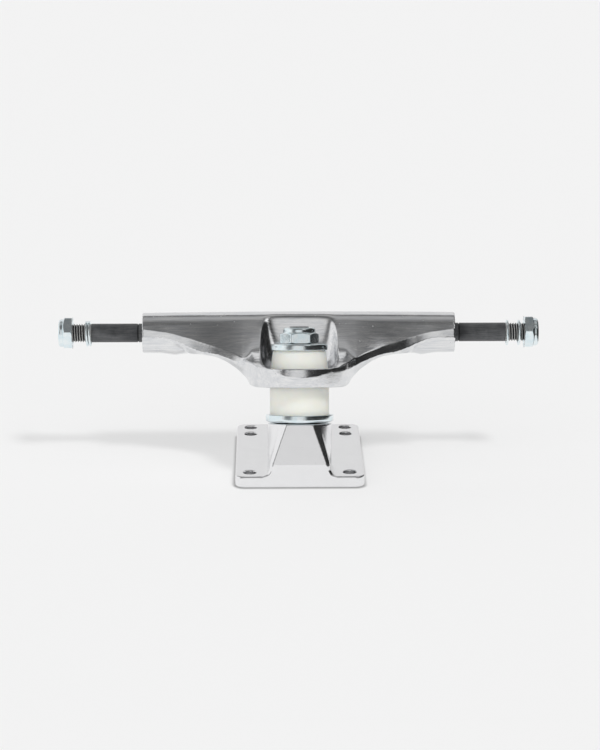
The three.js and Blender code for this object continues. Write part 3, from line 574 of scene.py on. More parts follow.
def skin(rows, wrap=False, caps=False, place=None):
    """A closed skin through rows of points. A row of one point is a pole."""
    points, starts, faces = [], [], []
    for row in rows:
        starts.append(len(points))
        points.extend(tuple(p) for p in row)
    pairs = list(zip(range(len(rows) - 1), range(1, len(rows))))
    if wrap:
        pairs.append((len(rows) - 1, 0))
    for i, j in pairs:
        a, b = starts[i], starts[j]
        na, nb = len(rows[i]), len(rows[j])
        for k in range(max(na, nb)):
            n = (k + 1) % max(na, nb)
            if na == 1:
                faces.append((a, b + k, b + n))
            elif nb == 1:
                faces.append((a + k, b, a + n))
            else:
                faces.append((a + k, b + k, b + n, a + n))
    if caps:
        faces.append(tuple(range(starts[0], starts[0] + len(rows[0]))))
        faces.append(tuple(reversed(range(starts[-1], starts[-1] + len(rows[-1])))))
    points = np.array(points, float)
    if place is not None:
        matrix = np.array(place)
        points = points @ matrix[:3, :3].T + matrix[:3, 3]
    return points, faces


def angles(sides):
    return np.arange(sides) * 2 * math.pi / sides


def turned(profile, sides=128, place=None):
    """A shape turned about Z from (radius, height) points, closed on the axis or on itself."""
    round_shares = np.stack([np.cos(angles(sides)), np.sin(angles(sides))], 1)
    rows = []
    for radius, height in profile:
        if radius < 1e-6:
            rows.append([(0, 0, height)])
        else:
            rows.append([(radius * c, radius * s, height) for c, s in round_shares])
    on_axis = profile[0][0] < 1e-6 and profile[-1][0] < 1e-6
    return skin(rows, wrap=not on_axis, place=place)


def rounded(profile, radii, closed=False, steps=5):
    """The profile with its corners rounded; radii is one radius, or one for each point."""
    count = len(profile)
    radii = [radii] * count if isinstance(radii, (int, float)) else radii
    out = []
    for i, point in enumerate(profile):
        point = np.array(point, float)
        if radii[i] <= 0 or (not closed and i in (0, count - 1)):
            out.append(tuple(point))
            continue
        before = np.array(profile[i - 1], float) - point
        after = np.array(profile[(i + 1) % count], float) - point
        reach_before, reach_after = np.linalg.norm(before), np.linalg.norm(after)
        before /= reach_before
        after /= reach_after
        half = math.acos(max(-1, min(1, float(before @ after)))) / 2
        reach = min(radii[i] / math.tan(half), reach_before * 0.48, reach_after * 0.48)
        for k in range(steps + 1):
            t = k / steps
            out.append(tuple(point + before * reach * (1 - t) ** 2 + after * reach * t ** 2))
    return out


def across_x(outline, half_width):
    rows = [[(x, y, z) for y, z in outline] for x in (-half_width, half_width)]
    return skin(rows, caps=True)


def box(low, high, place=None):
    rows = [[(low[0], low[1], z), (high[0], low[1], z), (high[0], high[1], z), (low[0], high[1], z)]
            for z in (low[2], high[2])]
    return skin(rows, caps=True, place=place)


def rod(radius, start, end, sides=128, place=None):
    return turned([(0, start), (radius, start), (radius, end), (0, end)], sides, place)


def to_object(name, made):
    points, faces = made
    mesh = bpy.data.meshes.new(name)
    mesh.from_pydata([tuple(p) for p in points], [], [tuple(f) for f in faces])
    shape = bmesh.new()
    shape.from_mesh(mesh)
    if shape.calc_volume(signed=True) < 0:
        bmesh.ops.reverse_faces(shape, faces=shape.faces)
    shape.to_mesh(mesh)
    shape.free()
    made_object = bpy.data.objects.new(name, mesh)
    bpy.context.scene.collection.objects.link(made_object)
    return made_object


def baked(thing):
    """Replaces an object's mesh by what its modifiers make of it."""
    bpy.context.view_layer.update()
    mesh = bpy.data.meshes.new_from_object(thing.evaluated_get(bpy.context.evaluated_depsgraph_get()))
    thing.modifiers.clear()
    old, thing.data = thing.data, mesh
    bpy.data.meshes.remove(old)
    return thing


def combined(name, base, steps):
    """base with each (operation, skin) of steps applied."""
    thing = to_object(name, base)
    for operation, made in steps:
        tool = to_object("tool", made)
        cut = thing.modifiers.new("cut", "BOOLEAN")
        cut.solver = "MANIFOLD"
        cut.operation = operation
        cut.object = tool
        baked(thing)
        bpy.data.meshes.remove(tool.data)
    return thing


def sharp_points(mesh, least_degrees, spacing):
    """Points along the mesh's sharp edges."""
    shape = bmesh.new()
    shape.from_mesh(mesh)
    least = math.radians(least_degrees)
    found = []
    for edge in shape.edges:
        if len(edge.link_faces) == 2 and edge.calc_face_angle(0) > least:
            a, b = (v.co for v in edge.verts)
            count = max(1, int((b - a).length / spacing))
            found.extend(a.lerp(b, i / count) for i in range(count + 1))
    shape.free()
    return found


def cast_over(thing, voxel, radius_at, largest, least_degrees=24):
    """Remeshes a hard-edged solid evenly and rounds its edges, each by what radius_at gives for a point."""
    hard = thing.data.copy()
    tree = BVHTree.FromPolygons([v.co for v in hard.vertices], [tuple(p.vertices) for p in hard.polygons])
    edges = sharp_points(hard, least_degrees, voxel * 0.6)
    lookup = KDTree(len(edges))
    for i, point in enumerate(edges):
        lookup.insert(point, i)
    lookup.balance()
    edge_radius = [radius_at(*point) for point in edges]
    remesh = thing.modifiers.new("remesh", "REMESH")
    remesh.mode = "VOXEL"
    remesh.voxel_size = voxel
    baked(thing)
    mesh = thing.data
    count = len(mesh.vertices)
    points = np.empty((count, 3))
    weights = np.zeros(count)
    for i, vertex in enumerate(mesh.vertices):
        points[i] = tree.find_nearest(vertex.co)[0]
        _, index, distance = lookup.find(vertex.co)
        radius = edge_radius[index]
        fall = min(1, max(0, 1.25 - distance / (2.2 * radius + voxel * 0.5)))
        weights[i] = (radius / largest) ** 2 * fall * fall * (3 - 2 * fall) if radius > 0 else 0
    pairs = np.empty(len(mesh.edges) * 2, int)
    mesh.edges.foreach_get("vertices", pairs)
    first, second = pairs[::2], pairs[1::2]
    neighbours = np.bincount(first, minlength=count) + np.bincount(second, minlength=count)
    for _ in range(int(2 * (largest / voxel) ** 2) + 2):
        for axis in range(3):
            values = points[:, axis]
            total = np.bincount(first, values[second], count) + np.bincount(second, values[first], count)
            points[:, axis] += np.minimum(weights, 1) * 0.5 * (total / neighbours - values)
    mesh.vertices.foreach_set("co", points.ravel())
    mesh.update()
    bpy.data.meshes.remove(hard)
    return thing


def finish(thing, slot, body, nodes):
    """Turns a shape in millimetres into a finished piece in metres, on a body unless it is to be blended."""
    thing.data.transform(Matrix.Scale(MM, 4))
    thing.data.materials.clear()
    thing.data.materials.append(MATERIALS[slot])
    thing.data.shade_smooth()
    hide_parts(*nodes)
    if body is not None:
        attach(thing, body)
    return thing


def piece(name, made, slot, body, *nodes):
    return finish(to_object(name, made), slot, body, nodes)


def turned_piece(name, profile, radii, closed, sides, place, *belongs):
    return piece(name, turned(rounded(profile, radii, closed), sides, place), *belongs)


# Baseplate


def plate_slab():
    corner_steps, edge_steps = 12, 6

    def outline(inset, z):
        points = []
        radius = PLATE_CORNER - inset
        for quarter, (sx, sy) in enumerate(((1, 1), (-1, 1), (-1, -1), (1, -1))):
            centre_x = sx * (PLATE_WIDTH / 2 - PLATE_CORNER)
            centre_y = (PLATE_BACK if sy > 0 else PLATE_FRONT) - sy * PLATE_CORNER
            for k in range(corner_steps + 1):
                angle = (quarter + k / corner_steps) * math.pi / 2
                points.append((centre_x + radius * math.cos(angle), centre_y + radius * math.sin(angle), z))
        return points

    turns = [k / edge_steps * math.pi / 2 for k in range(edge_steps + 1)]
    falls = [(PLATE_EDGE * (1 - math.sin(turn)), PLATE_EDGE * (1 - math.cos(turn))) for turn in turns]
    low = [outline(inset, rise) for inset, rise in falls]
    high = [outline(rise, PLATE_THICKNESS - inset) for inset, rise in falls]
    return skin(low + high, caps=True)


def buttress_face(z):
    return PLATE_FRONT + max(0, z - PLATE_THICKNESS - BUTTRESS_BEND) * math.tan(TILT)


def buttress():
    bend = PLATE_THICKNESS + BUTTRESS_BEND
    top = on_kingpin(0)[2] + TOWER_RADIUS * math.sin(TILT)
    slices = [(PLATE_EDGE, BUTTRESS_FOOT_WIDTH, BUTTRESS_FOOT_BEVEL)]
    flare_steps = 12
    for k in range(flare_steps + 1):
        rise = k / flare_steps
        flare = lerp(1, FLARE_END, rise) * (1 - FLARE_HOLLOW * math.sin(math.pi * rise) ** FLARE_CURVE)
        slices.append((PLATE_THICKNESS + rise * BUTTRESS_FLARE,
                       lerp(BUTTRESS_LOW_WIDTH, BUTTRESS_FOOT_WIDTH, flare),
                       lerp(BUTTRESS_LOW_BEVEL, BUTTRESS_FOOT_BEVEL, flare)))
    slices.append((bend, BUTTRESS_LOW_WIDTH, BUTTRESS_LOW_BEVEL))
    slices.append((top, BUTTRESS_TOP_WIDTH, BUTTRESS_TOP_BEVEL))
    rows = []
    for z, width, bevel in slices:
        face, half = buttress_face(z), width / 2
        back_half = min(half + bevel, TOWER_RADIUS - GAP)
        corners = [(half, face), (half + bevel, face + bevel), (back_half, SEAT[1])]
        rows.append([(x, y, z) for x, y in corners] + [(-x, y, z) for x, y in reversed(corners)])
    return skin(rows, caps=True)


def tower():
    reach = TOWER_RADIUS + OVERRUN
    bend = PLATE_THICKNESS + BUTTRESS_BEND
    top = SEAT[2] + reach
    back = SEAT[1] + reach + SEAT[2]
    envelope = [(PLATE_FRONT, PLATE_EDGE), (PLATE_FRONT, bend), (buttress_face(top), top), (back, top),
                (back, PLATE_EDGE)]
    sleeve = rod(TOWER_RADIUS, -SEAT[2] - reach, reach, 160, KINGPIN_FRAME)
    return combined("tower", sleeve, [("INTERSECT", across_x(envelope, reach))])


def pivot_housing():
    mouth, end = on_steer(HOUSING_MOUTH), on_steer(HOUSING_END)
    across = np.array([0, STEER[2], -STEER[1]]) * (HOUSING_RADIUS / STEER_LENGTH)
    low, high = mouth + across, end - across
    last = PLATE_BACK - BACK_MARGIN / 2
    foot = [(low[1], HOUSING_FOOT), low[1:], mouth[1:], end[1:], (last, PLATE_THICKNESS), (last, HOUSING_FOOT)]
    rib = [(mouth[1], PLATE_THICKNESS / 2), mouth[1:], lerp(end, high, RIB_SHARE)[1:],
           (last, PLATE_THICKNESS), (last, PLATE_THICKNESS / 2)]
    return [
        ("UNION", rod(HOUSING_RADIUS, HOUSING_MOUTH, HOUSING_END, 128, STEER_FRAME)),
        ("UNION", across_x(foot, HOUSING_RADIUS)),
        ("UNION", across_x(rib, HOUSING_RIB / 2)),
    ]


def skin_of(thing):
    """Takes an object apart into a skin."""
    made = (np.array([v.co for v in thing.data.vertices]), [tuple(p.vertices) for p in thing.data.polygons])
    bpy.data.meshes.remove(thing.data)
    return made


# Size of the baseplate's fine mesh, and the radii of its edges
PLATE_VOXEL = 0.42
PLATE_RADIUS = 0.3
RIM_RADIUS = 0.35
CASTING_FILLET = 1.3
BUTTRESS_RADIUS = 0.55
BEND_RADIUS = 1.0
TOWER_EDGE_RADIUS = 0.5


def baseplate():
    below = box((-BEYOND, -BEYOND, -BEYOND), (BEYOND, BEYOND, 0))
    above = box((-BEYOND, -BEYOND, 0), (BEYOND, BEYOND, BEYOND), KINGPIN_FRAME)
    head_top = S_HEAD + HEAD_HEIGHT
    steps = [("UNION", skin_of(tower())), ("UNION", buttress()), ("DIFFERENCE", above)]
    steps += pivot_housing()
    steps += [
        ("DIFFERENCE", below),
        ("DIFFERENCE", rod(HEAD_RADIUS + GAP, -SEAT[2] * 2, head_top + GAP, 96, KINGPIN_FRAME)),
        ("DIFFERENCE", rod(KINGPIN_RADIUS + GAP, S_HEAD, OVERRUN, 96, KINGPIN_FRAME)),
        ("DIFFERENCE", rod(CUP_RADIUS + GAP, HOUSING_MOUTH - OVERRUN, CUP_END + GAP, 96, STEER_FRAME)),
    ]
    for y in BOLT_ROWS:
        for side in (-1, 1):
            hole = Matrix.Translation((side * BOLT_X, y, 0))
            steps.append(("DIFFERENCE", rod(BOLT_HOLE / 2, -OVERRUN, PLATE_THICKNESS + OVERRUN, 48, hole)))
    thing = combined("baseplate_cast", plate_slab(), steps)

    def radius_at(x, y, z):
        """Tells the casting's edges apart by where they are, with room for a voxel or two."""
        under = z < 0.6
        beside_tower = abs(x) > 15 or y > PLATE_BACK - 7
        if under or beside_tower:
            return RIM_RADIUS if z > PLATE_THICKNESS - 0.3 else PLATE_RADIUS
        if z < PLATE_THICKNESS + 0.5 and y > PLATE_FRONT + 4:
            return CASTING_FILLET
        if y < SEAT[1] - 6 and z < SEAT[2] + 1:
            return BEND_RADIUS if abs(z - PLATE_THICKNESS - BUTTRESS_BEND) < 0.3 else BUTTRESS_RADIUS
        return TOWER_EDGE_RADIUS

    thing = cast_over(thing, PLATE_VOXEL, radius_at, CASTING_FILLET)
    return finish(thing, "cast_aluminium", "base", ["baseplate"])


# Hanger

YOKE_HALF = RING_RADIUS + YOKE_CHEEK
BARREL_FRONT = AXLE[1] - BARREL_RADIUS
YOKE_FRONT = on_kingpin(S_RING_TOP)[1] - RING_RADIUS * math.cos(TILT) - YOKE_LIP
CREASE_END = AXLE[2] + CREASE_RISE
FACE_LEAN = math.radians(49)
LEDGE_SLOPE = math.tan(math.radians(4))
LEDGE_SETTLE = 0.8
FOOT_ROUND = 0.15

# Rows across the yoke by share of its half width: how far forward the crease reaches there, its lift
# over the ring's top, the band under it, and the rise of the lower edge
YOKE_ROWS = [
    (0, 1, 0, 1, 0),
    (0.29, 0.973, 0, 0.83, 0),
    (0.49, 0.919, 0, 0.46, 0),
    (0.634, 0.856, 0, 0.28, 0),
    (0.77, 0.77, 0, 0.26, 0),
    (0.854, 0.698, 0.4, 0.46, 0),
    (0.937, 0.602, 0.72, 0.62, 0.3),
    (1, 0.506, 0.9, 0.72, 1),
]

# Rows along a wing, by share of its length: crease forward and down, the band under it, lower edge
# forward and down, heel of the underside, pad under the barrel
WING_ROWS = [
    (0.033, 0.406, 1.026, 0.725, 0.383, 0.937, 0.5, 0),
    (0.066, 0.326, 1.03, 0.71, 0.297, 0.887, 0.25, 0),
    (0.109, 0.283, 0.964, 0.736, 0.229, 0.8, 0.1, 0),
    (0.164, 0.242, 0.879, 0.8, 0.181, 0.7, 0, 0),
    (0.24, 0.197, 0.786, 0.767, 0.14, 0.579, 0, 0),
    (0.339, 0.145, 0.657, 0.858, 0.1, 0.483, 0, 0),
    (0.459, 0.097, 0.514, 1.067, 0.047, 0.455, 0, 0),
    (0.557, 0.061, 0.381, 1.02, -0.009, 0.469, 0, 0),
    (0.634, 0.04, 0.3, 0.83, -0.049, 0.342, 0, 0.35),
    (0.699, 0.023, 0.222, 0.71, -0.031, 0.28, 0, 1),
    (0.765, 0.011, 0.149, 0.656, -0.022, 0.237, 0, 0.5),
    (0.842, 0.003, 0.091, 0.71, -0.014, 0.19, 0, 0),
    (1, -0.018, 0, 0.953, -0.014, 0.19, 0, 0),
]


def level_at(height, y):
    """Height of the plane square to the kingpin at a place on its axis."""
    centre = on_kingpin(height)
    return centre[2] - (y - centre[1]) * math.tan(TILT)


def smooth_through(xs, ys, at):
    """Values of a smooth curve through points, without overshoot."""
    xs, ys, at = np.array(xs, float), np.array(ys, float), np.asarray(at, float)
    steps = np.diff(xs)
    slopes = np.diff(ys) / steps
    tangents = np.zeros(len(xs))
    for i in range(1, len(xs) - 1):
        if slopes[i - 1] * slopes[i] > 0:
            a, b = 2 * steps[i] + steps[i - 1], steps[i] + 2 * steps[i - 1]
            tangents[i] = (a + b) / (a / slopes[i - 1] + b / slopes[i])
    tangents[-1] = slopes[-1]
    cell = np.clip(np.searchsorted(xs, at, "right") - 1, 0, len(xs) - 2)
    h = steps[cell]
    t = (at - xs[cell]) / h
    return (ys[cell] * (1 + 2 * t) * (1 - t) ** 2 + tangents[cell] * h * t * (1 - t) ** 2
            + ys[cell + 1] * t * t * (3 - 2 * t) + tangents[cell + 1] * h * t * t * (t - 1))


def hanger_rows():
    """(x, crease y, crease z, band, edge y, edge z, heel, pad) along half the hanger."""
    rows = []
    for place, forward, lift, band, sweep in YOKE_ROWS:
        crease_y = lerp(BARREL_FRONT, YOKE_FRONT, forward)
        crease_z = level_at(S_RING_TOP, crease_y) + LIP_STOCK + CREASE_LIFT * lift
        edge_y = crease_y - CREASE_BAND * band * BAND_LEAN + YOKE_DRAFT
        edge_z = level_at(S_RING_BOTTOM, edge_y) + YOKE_SWEEP * sweep
        rows.append((place * YOKE_HALF, crease_y, crease_z, CREASE_BAND * band, edge_y, edge_z, 1, 0))
    side_crease, side_edge = rows[-1][2], rows[-1][5]
    for place, forward, drop, band, low, low_drop, heel, pad in WING_ROWS:
        crease_y, edge_y = lerp(BARREL_FRONT, YOKE_FRONT, forward), lerp(BARREL_FRONT, YOKE_FRONT, low)
        crease_z, edge_z = lerp(CREASE_END, side_crease, drop), lerp(AXLE[2], side_edge, low_drop)
        rows.append((lerp(YOKE_HALF, HALF_HANGER, place), crease_y, crease_z, CREASE_BAND * band, edge_y, edge_z,
                     heel, pad))
    return np.array(rows)


def hanger_section(x, crease_y, crease_z, band, edge_y, edge_z, heel, pad):
    """One slice of the hanger's body: barrel top and back, underside, lower edge, band, crease and face."""
    barrel_steps, face_steps, under_steps, band_steps = 96, 28, 14, 6
    settle = 0.06
    radius = BARREL_RADIUS + BARREL_CROWN * (1 - (x / HALF_HANGER) ** 2)
    crease, edge = (crease_y, crease_z), (edge_y, edge_z)
    deep = band + BAND_EXTRA
    lean = lerp(BAND_LEAN, CORNER_LEAN, math.exp(-((x - YOKE_HALF - YOKE_LIP * 2) / CORNER_RUN) ** 2))
    foot = (crease_y - deep * lean, crease_z - deep)

    def on_barrel(angle):
        return AXLE[1] - radius * math.cos(angle), AXLE[2] + radius * math.sin(angle)

    def angle_to(point):
        return math.atan2(point[1] - AXLE[2], AXLE[1] - point[0])

    def reach_to(point):
        return max(radius, math.hypot(point[1] - AXLE[2], AXLE[1] - point[0]))

    # The face leans back evenly across the yoke; a ledge joins its foot to the crease further forward
    lean_top = on_barrel(FACE_LEAN)
    steepness = 1 / math.tan(FACE_LEAN)
    ledge = (crease_z - lean_top[1] - (crease_y - lean_top[0]) * steepness) / (steepness - LEDGE_SLOPE)
    ledge = (ledge + math.hypot(ledge, LEDGE_SETTLE)) / 2
    corner = (crease_y + ledge, crease_z + ledge * LEDGE_SLOPE)
    face_angle = angle_to(corner) + math.acos(radius / reach_to(corner)) + settle
    end_angle = 2 * math.pi + angle_to(edge) - math.acos(radius / reach_to(edge)) - settle
    ring = []
    for i in range(barrel_steps + 1):
        angle = lerp(face_angle, end_angle, i / barrel_steps)
        y, z = on_barrel(angle)
        ring.append((y, z - BARREL_PAD * pad * max(0, -math.sin(angle)) ** 4))
    last = ring[-1]
    heel_y = on_kingpin(S_RING_BOTTOM)[1] + RING_RADIUS * math.cos(TILT)
    heel_point = between(between(last, edge, 0.5), (heel_y, level_at(S_RING_BOTTOM, heel_y)), heel)
    stretches = ((last, heel_point, under_steps), (heel_point, edge, under_steps), (edge, foot, band_steps),
                 (foot, crease, band_steps))
    for start, end, count in stretches:
        ring.extend(between(start, end, i / count) for i in range(1, count + 1))
    top = on_barrel(face_angle)
    high = between(corner, top, FOOT_ROUND)
    for i in range(1, face_steps):
        t = i / face_steps
        a, b, c, d = (1 - t) ** 3, 3 * t * (1 - t) ** 2, 3 * t * t * (1 - t), t ** 3
        ring.append(tuple(crease[k] * a + corner[k] * b + high[k] * c + top[k] * d for k in range(2)))
    return [(x, y, z) for y, z in ring]


def hanger_body():
    rows = hanger_rows()
    yoke_slices, wing_slices = 60, 130
    xs = np.concatenate([np.linspace(0, YOKE_HALF, yoke_slices)[:-1],
                         np.linspace(YOKE_HALF, HALF_HANGER, wing_slices)])
    columns = [smooth_through(rows[:, 0], rows[:, k], xs) for k in range(1, rows.shape[1])]
    half = [hanger_section(x, *(column[i] for column in columns)) for i, x in enumerate(xs)]
    mirrored = [[(-x, y, z) for x, y, z in ring] for ring in half[1:]]
    return skin(mirrored[::-1] + half, caps=True)


def oval(centre, pitch, half_width, half_depth, sides=64):
    return [(half_width * math.cos(a), centre[1] + half_depth * math.sin(a) * math.cos(pitch),
             centre[2] + half_depth * math.sin(a) * math.sin(pitch)) for a in angles(sides)]


# Slices of the pivot arm by share of its length: lean, and half width and depth in nose radii
ARM_ROWS = [
    (0, 0, 2.1, 1.05), (0.3, 0, 1.75, 1.05), (0.55, 0.15, 1.4, 1.08), (0.78, 0.5, 1.15, 1.06), (1, 1, 1, 1),
]
ARM_ROOT_SHARE = 0.85
ARM_SLICES = 40


def pivot_arm():
    root = on_steer(NOSE_MOUTH - NOSE_ROOT)
    start = np.array([0, lerp(RING_CENTRE[1], AXLE[1], ARM_ROOT_SHARE), AXLE[2]])
    slope = math.pi - STEER_PITCH
    table = np.array(ARM_ROWS)
    at = np.linspace(0, 1, ARM_SLICES)
    lean, width, depth = (smooth_through(table[:, 0], table[:, k], at) for k in (1, 2, 3))
    rows = []
    for i, place in enumerate(at):
        centre = start + (root - start) * place
        centre[1] -= (1 - place) * place * NOSE_ROOT
        rows.append(oval(centre, slope * lean[i], NOSE_ROOT * width[i], NOSE_ROOT * depth[i]))
    return skin(rows, caps=True)


def pivot_nose():
    profile = [
        (0, NOSE_MOUTH - NOSE_ROOT - GAP),
        (NOSE_ROOT, NOSE_MOUTH - NOSE_ROOT - GAP),
        (NOSE_ROOT, NOSE_MOUTH - NOSE_ROOT / 2),
        (NOSE_ROOT - NOSE_TIP / 2, NOSE_MOUTH),
        (NOSE_RADIUS, NOSE_END - NOSE_TIP),
        (NOSE_RADIUS * 0.8, NOSE_END - NOSE_TIP * 0.4),
        (NOSE_RADIUS * 0.4, NOSE_END),
        (0, NOSE_END),
    ]
    return turned(rounded(profile, [0, 0, 1.5, 1.5, 1, 1, 1, 0]), 96, STEER_FRAME)


def pocket():
    """The hollow round the kingpin nut, twice as high as the hanger there and open at the front."""
    slices, arc_steps = 48, 96
    barrel_top = Vector((0, AXLE[1] - BARREL_RADIUS / 2, AXLE[2] + BARREL_RADIUS))
    height = lerp(S_RING_TOP, (KINGPIN_FRAME.inverted() @ barrel_top).z, 2)

    def outline(rise):
        half_width = lerp(POCKET_WIDTH, POCKET_TOP_WIDTH, rise * 2) / 2
        low = max(0, 1 - rise * (height - S_RING_TOP) / POCKET_FILLET)
        half_width -= POCKET_FILLET * POCKET_FILLET_SHARE * (1 - math.sqrt(1 - low * low))
        back = lerp(POCKET_BACK, POCKET_TOP_BACK, rise * 2)
        depth = lerp(POCKET_FLOOR_ROUND, POCKET_TOP_ROUND, min(1, rise * 2))
        power = 2 / lerp(POCKET_FLOOR_SQUARENESS, POCKET_TOP_SQUARENESS, min(1, rise * 2))
        level = lerp(S_RING_TOP, height, rise)
        points = []
        for i in range(arc_steps + 1):
            angle = math.pi * i / arc_steps
            cos, sin = math.cos(angle), max(0, math.sin(angle))
            across = half_width * math.copysign(abs(cos) ** power, cos)
            points.append((across, back + depth * (sin ** power - 1), level))
        front = -RING_RADIUS * 3
        return points + [(-half_width, front, level), (half_width, front, level)]

    return skin([outline((k / slices) ** 1.5) for k in range(slices + 1)], caps=True, place=KINGPIN_FRAME)


# Size of the hanger's fine mesh, the least angle that counts as an edge, and the edges' radii
HANGER_VOXEL = 0.48
HANGER_LEAST_EDGE = 11
BARREL_END_RADIUS = 0.45
NOSE_EDGE_RADIUS = 0.35
POCKET_EDGE_RADIUS = 1.5
CREASE_RADIUS = 0.3
BAND_RADIUS = 0.35
YOKE_EDGE_RADIUS = 0.6


def hanger():
    low, high = S_RING_BOTTOM, S_RING_TOP
    profile = [(0, low), (RING_RADIUS - RING_FOOT_DRAFT, low), (RING_RADIUS, high), (0, high)]
    ring = turned(profile, 160, KINGPIN_FRAME)
    bore_frame = Matrix.Translation(AXLE) @ Matrix.Rotation(math.pi / 2, 4, "Y")
    thing = combined("hanger_cast", hanger_body(), [
        ("UNION", ring),
        ("UNION", pivot_arm()),
        ("UNION", pivot_nose()),
        ("DIFFERENCE", pocket()),
        ("DIFFERENCE", rod(RING_BORE, low - OVERRUN, high + OVERRUN, 96, KINGPIN_FRAME)),
        ("DIFFERENCE", rod(BOTTOM_BUSHING_RADIUS + GAP, low - RING_RADIUS, S_LOWER_SEAT, place=KINGPIN_FRAME)),
        ("DIFFERENCE", rod(TOP_BUSHING_RADIUS + GAP, S_UPPER_SEAT, high + OVERRUN, place=KINGPIN_FRAME)),
        ("DIFFERENCE", rod(AXLE_RADIUS + GAP, -HALF_HANGER - OVERRUN, HALF_HANGER + OVERRUN, 64, bore_frame)),
    ])
    rows = hanger_rows()

    def radius_at(x, y, z):
        """Tells the hanger's edges apart by where they are."""
        if abs(x) > HALF_HANGER - 0.5:
            return BARREL_END_RADIUS
        if math.hypot(y - AXLE[1], z - AXLE[2]) < AXLE_RADIUS + 1 or z < AXLE[2] - 22:
            return NOSE_EDGE_RADIUS
        if abs(x) < POCKET_TOP_WIDTH / 2 + 2 and z > level_at(S_RING_TOP, y) + 1.5:
            return POCKET_EDGE_RADIUS
        crease_y, crease_z, band = (float(np.interp(abs(x), rows[:, 0], rows[:, k])) for k in (1, 2, 3))
        if abs(y - crease_y) < 2 and abs(z - crease_z) < 0.6:
            return CREASE_RADIUS
        if abs(y - crease_y) < 3 and abs(z - crease_z + band) < 1.2:
            return BAND_RADIUS
        return YOKE_EDGE_RADIUS

    thing = cast_over(thing, HANGER_VOXEL, radius_at, POCKET_EDGE_RADIUS, HANGER_LEAST_EDGE)
    return finish(thing, "polished_aluminium", "hanger", ["hanger"])


# Pieces on the kingpin


BOLT_SIDES = 72
THREAD_STEPS = 12
THREAD_RUNOUT = 1.5
THREAD_ROOT = 0.1
THREAD_CREST = 0.88


def circle_row(radius, height):
    """A row round Z of one radius, or of one for each side."""
    radii = np.broadcast_to(radius, BOLT_SIDES)
    return [(r * math.cos(a), r * math.sin(a), height) for r, a in zip(radii, angles(BOLT_SIDES))]


def thread_rows(start, end, radius):
    """Rows of a right-hand thread about Z; it fades in over the first part of its length."""
    count = int((end - start) / THREAD_PITCH * THREAD_STEPS)
    rows = []
    for i in range(count + 1):
        height = lerp(start, end, i / count)
        phase = (height / THREAD_PITCH - angles(BOLT_SIDES) / (2 * math.pi)) % 1
        flank = np.clip(np.abs(phase - 0.5) * 2, THREAD_ROOT, THREAD_CREST)
        groove = (THREAD_CREST - flank) / (THREAD_CREST - THREAD_ROOT)
        fade = min(1, (height - start) / THREAD_RUNOUT)
        rows.append(circle_row(radius - THREAD_DEPTH * groove * fade, height))
    return rows


def threaded_end(start, end, radius, chamfer, bevel):
    """A thread, its chamfer and the flat end with a small bevel round it."""
    tip = end - chamfer
    return [*thread_rows(start, tip, radius), circle_row(radius - THREAD_DEPTH, tip + 0.1),
            circle_row(radius - chamfer, end - bevel), circle_row(radius - chamfer - 0.2, end), [(0, 0, end)]]


def kingpin():
    head_top = S_HEAD + HEAD_HEIGHT
    profile = [(0, S_HEAD), (HEAD_RADIUS, S_HEAD), (HEAD_RADIUS, head_top), (KINGPIN_RADIUS, head_top),
               (KINGPIN_RADIUS, head_top + 3)]
    rows = [[(0, 0, S_HEAD)]]
    rows += [circle_row(*point) for point in rounded(profile, [0, 0.8, 0.5, 0.4, 0])[1:]]
    thread = S_NUT - OVERRUN
    rows.append(circle_row(KINGPIN_RADIUS, thread - 0.1))
    rows += threaded_end(thread, S_TIP, KINGPIN_RADIUS, KINGPIN_CHAMFER, 0.12)
    return piece("kingpin_bolt", skin(rows, place=KINGPIN_FRAME), "black_steel", "base", "kingpin")


def raised(height):
    return KINGPIN_FRAME @ Matrix.Translation((0, 0, height))


def bottom_washer():
    inner = BOTTOM_BUSHING_RADIUS + GAP
    bore = KINGPIN_RADIUS + GAP
    curve = [(lerp(BOTTOM_WASHER_FLAT, BOTTOM_WASHER_RADIUS, math.sin(angle)),
              BOTTOM_WASHER_ROUND * (1 - math.cos(angle))) for angle in np.linspace(0, math.pi / 2, 9)]
    profile = [(bore, 0), *curve, (BOTTOM_WASHER_RADIUS, BOTTOM_WASHER_HEIGHT), (inner, BOTTOM_WASHER_HEIGHT),
               (inner, BOTTOM_WASHER_FLOOR), (bore, BOTTOM_WASHER_FLOOR)]
    radii = [0.2] + [0] * len(curve) + [0.35, 0.3, 0.4, 0.2]
    turned_piece("bottom_cup_washer", profile, radii, True, 144, raised(S_BOTTOM_WASHER),
                 "zinc_steel", "base", "bottom_washer")


def top_washer():
    inner = TOP_WASHER_RADIUS - TOP_WASHER_LIP
    bore = KINGPIN_RADIUS + GAP
    lip = TOP_WASHER_FLOOR - TOP_WASHER_HEIGHT
    profile = [(bore, 0), (inner, 0), (inner, lip), (TOP_WASHER_RADIUS, lip),
               (TOP_WASHER_RADIUS, TOP_WASHER_FLOOR), (bore, TOP_WASHER_FLOOR)]
    radii = [0.2, 0.3, 0.25, 0.35, 0.9, 0.25]
    turned_piece("top_cup_washer", profile, radii, True, 144, raised(S_TOP_WASHER),
                 "zinc_steel", "base", "top_washer")


BUSHING_ROW_GAP = 0.7


def bushing_skin(profile, radii, base):
    """A bushing with enough rows to bend smoothly."""
    fine = []
    corners = rounded(profile, radii, True)
    for i, point in enumerate(corners):
        following = corners[(i + 1) % len(corners)]
        count = max(1, int(math.dist(point, following) / BUSHING_ROW_GAP))
        fine.extend(between(point, following, k / count) for k in range(count))
    return turned(fine, 128, raised(base))


def bushing(name, made, node_name):
    thing = finish(to_object(name, made), "urethane", None, [node_name])
    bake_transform(thing)
    return thing


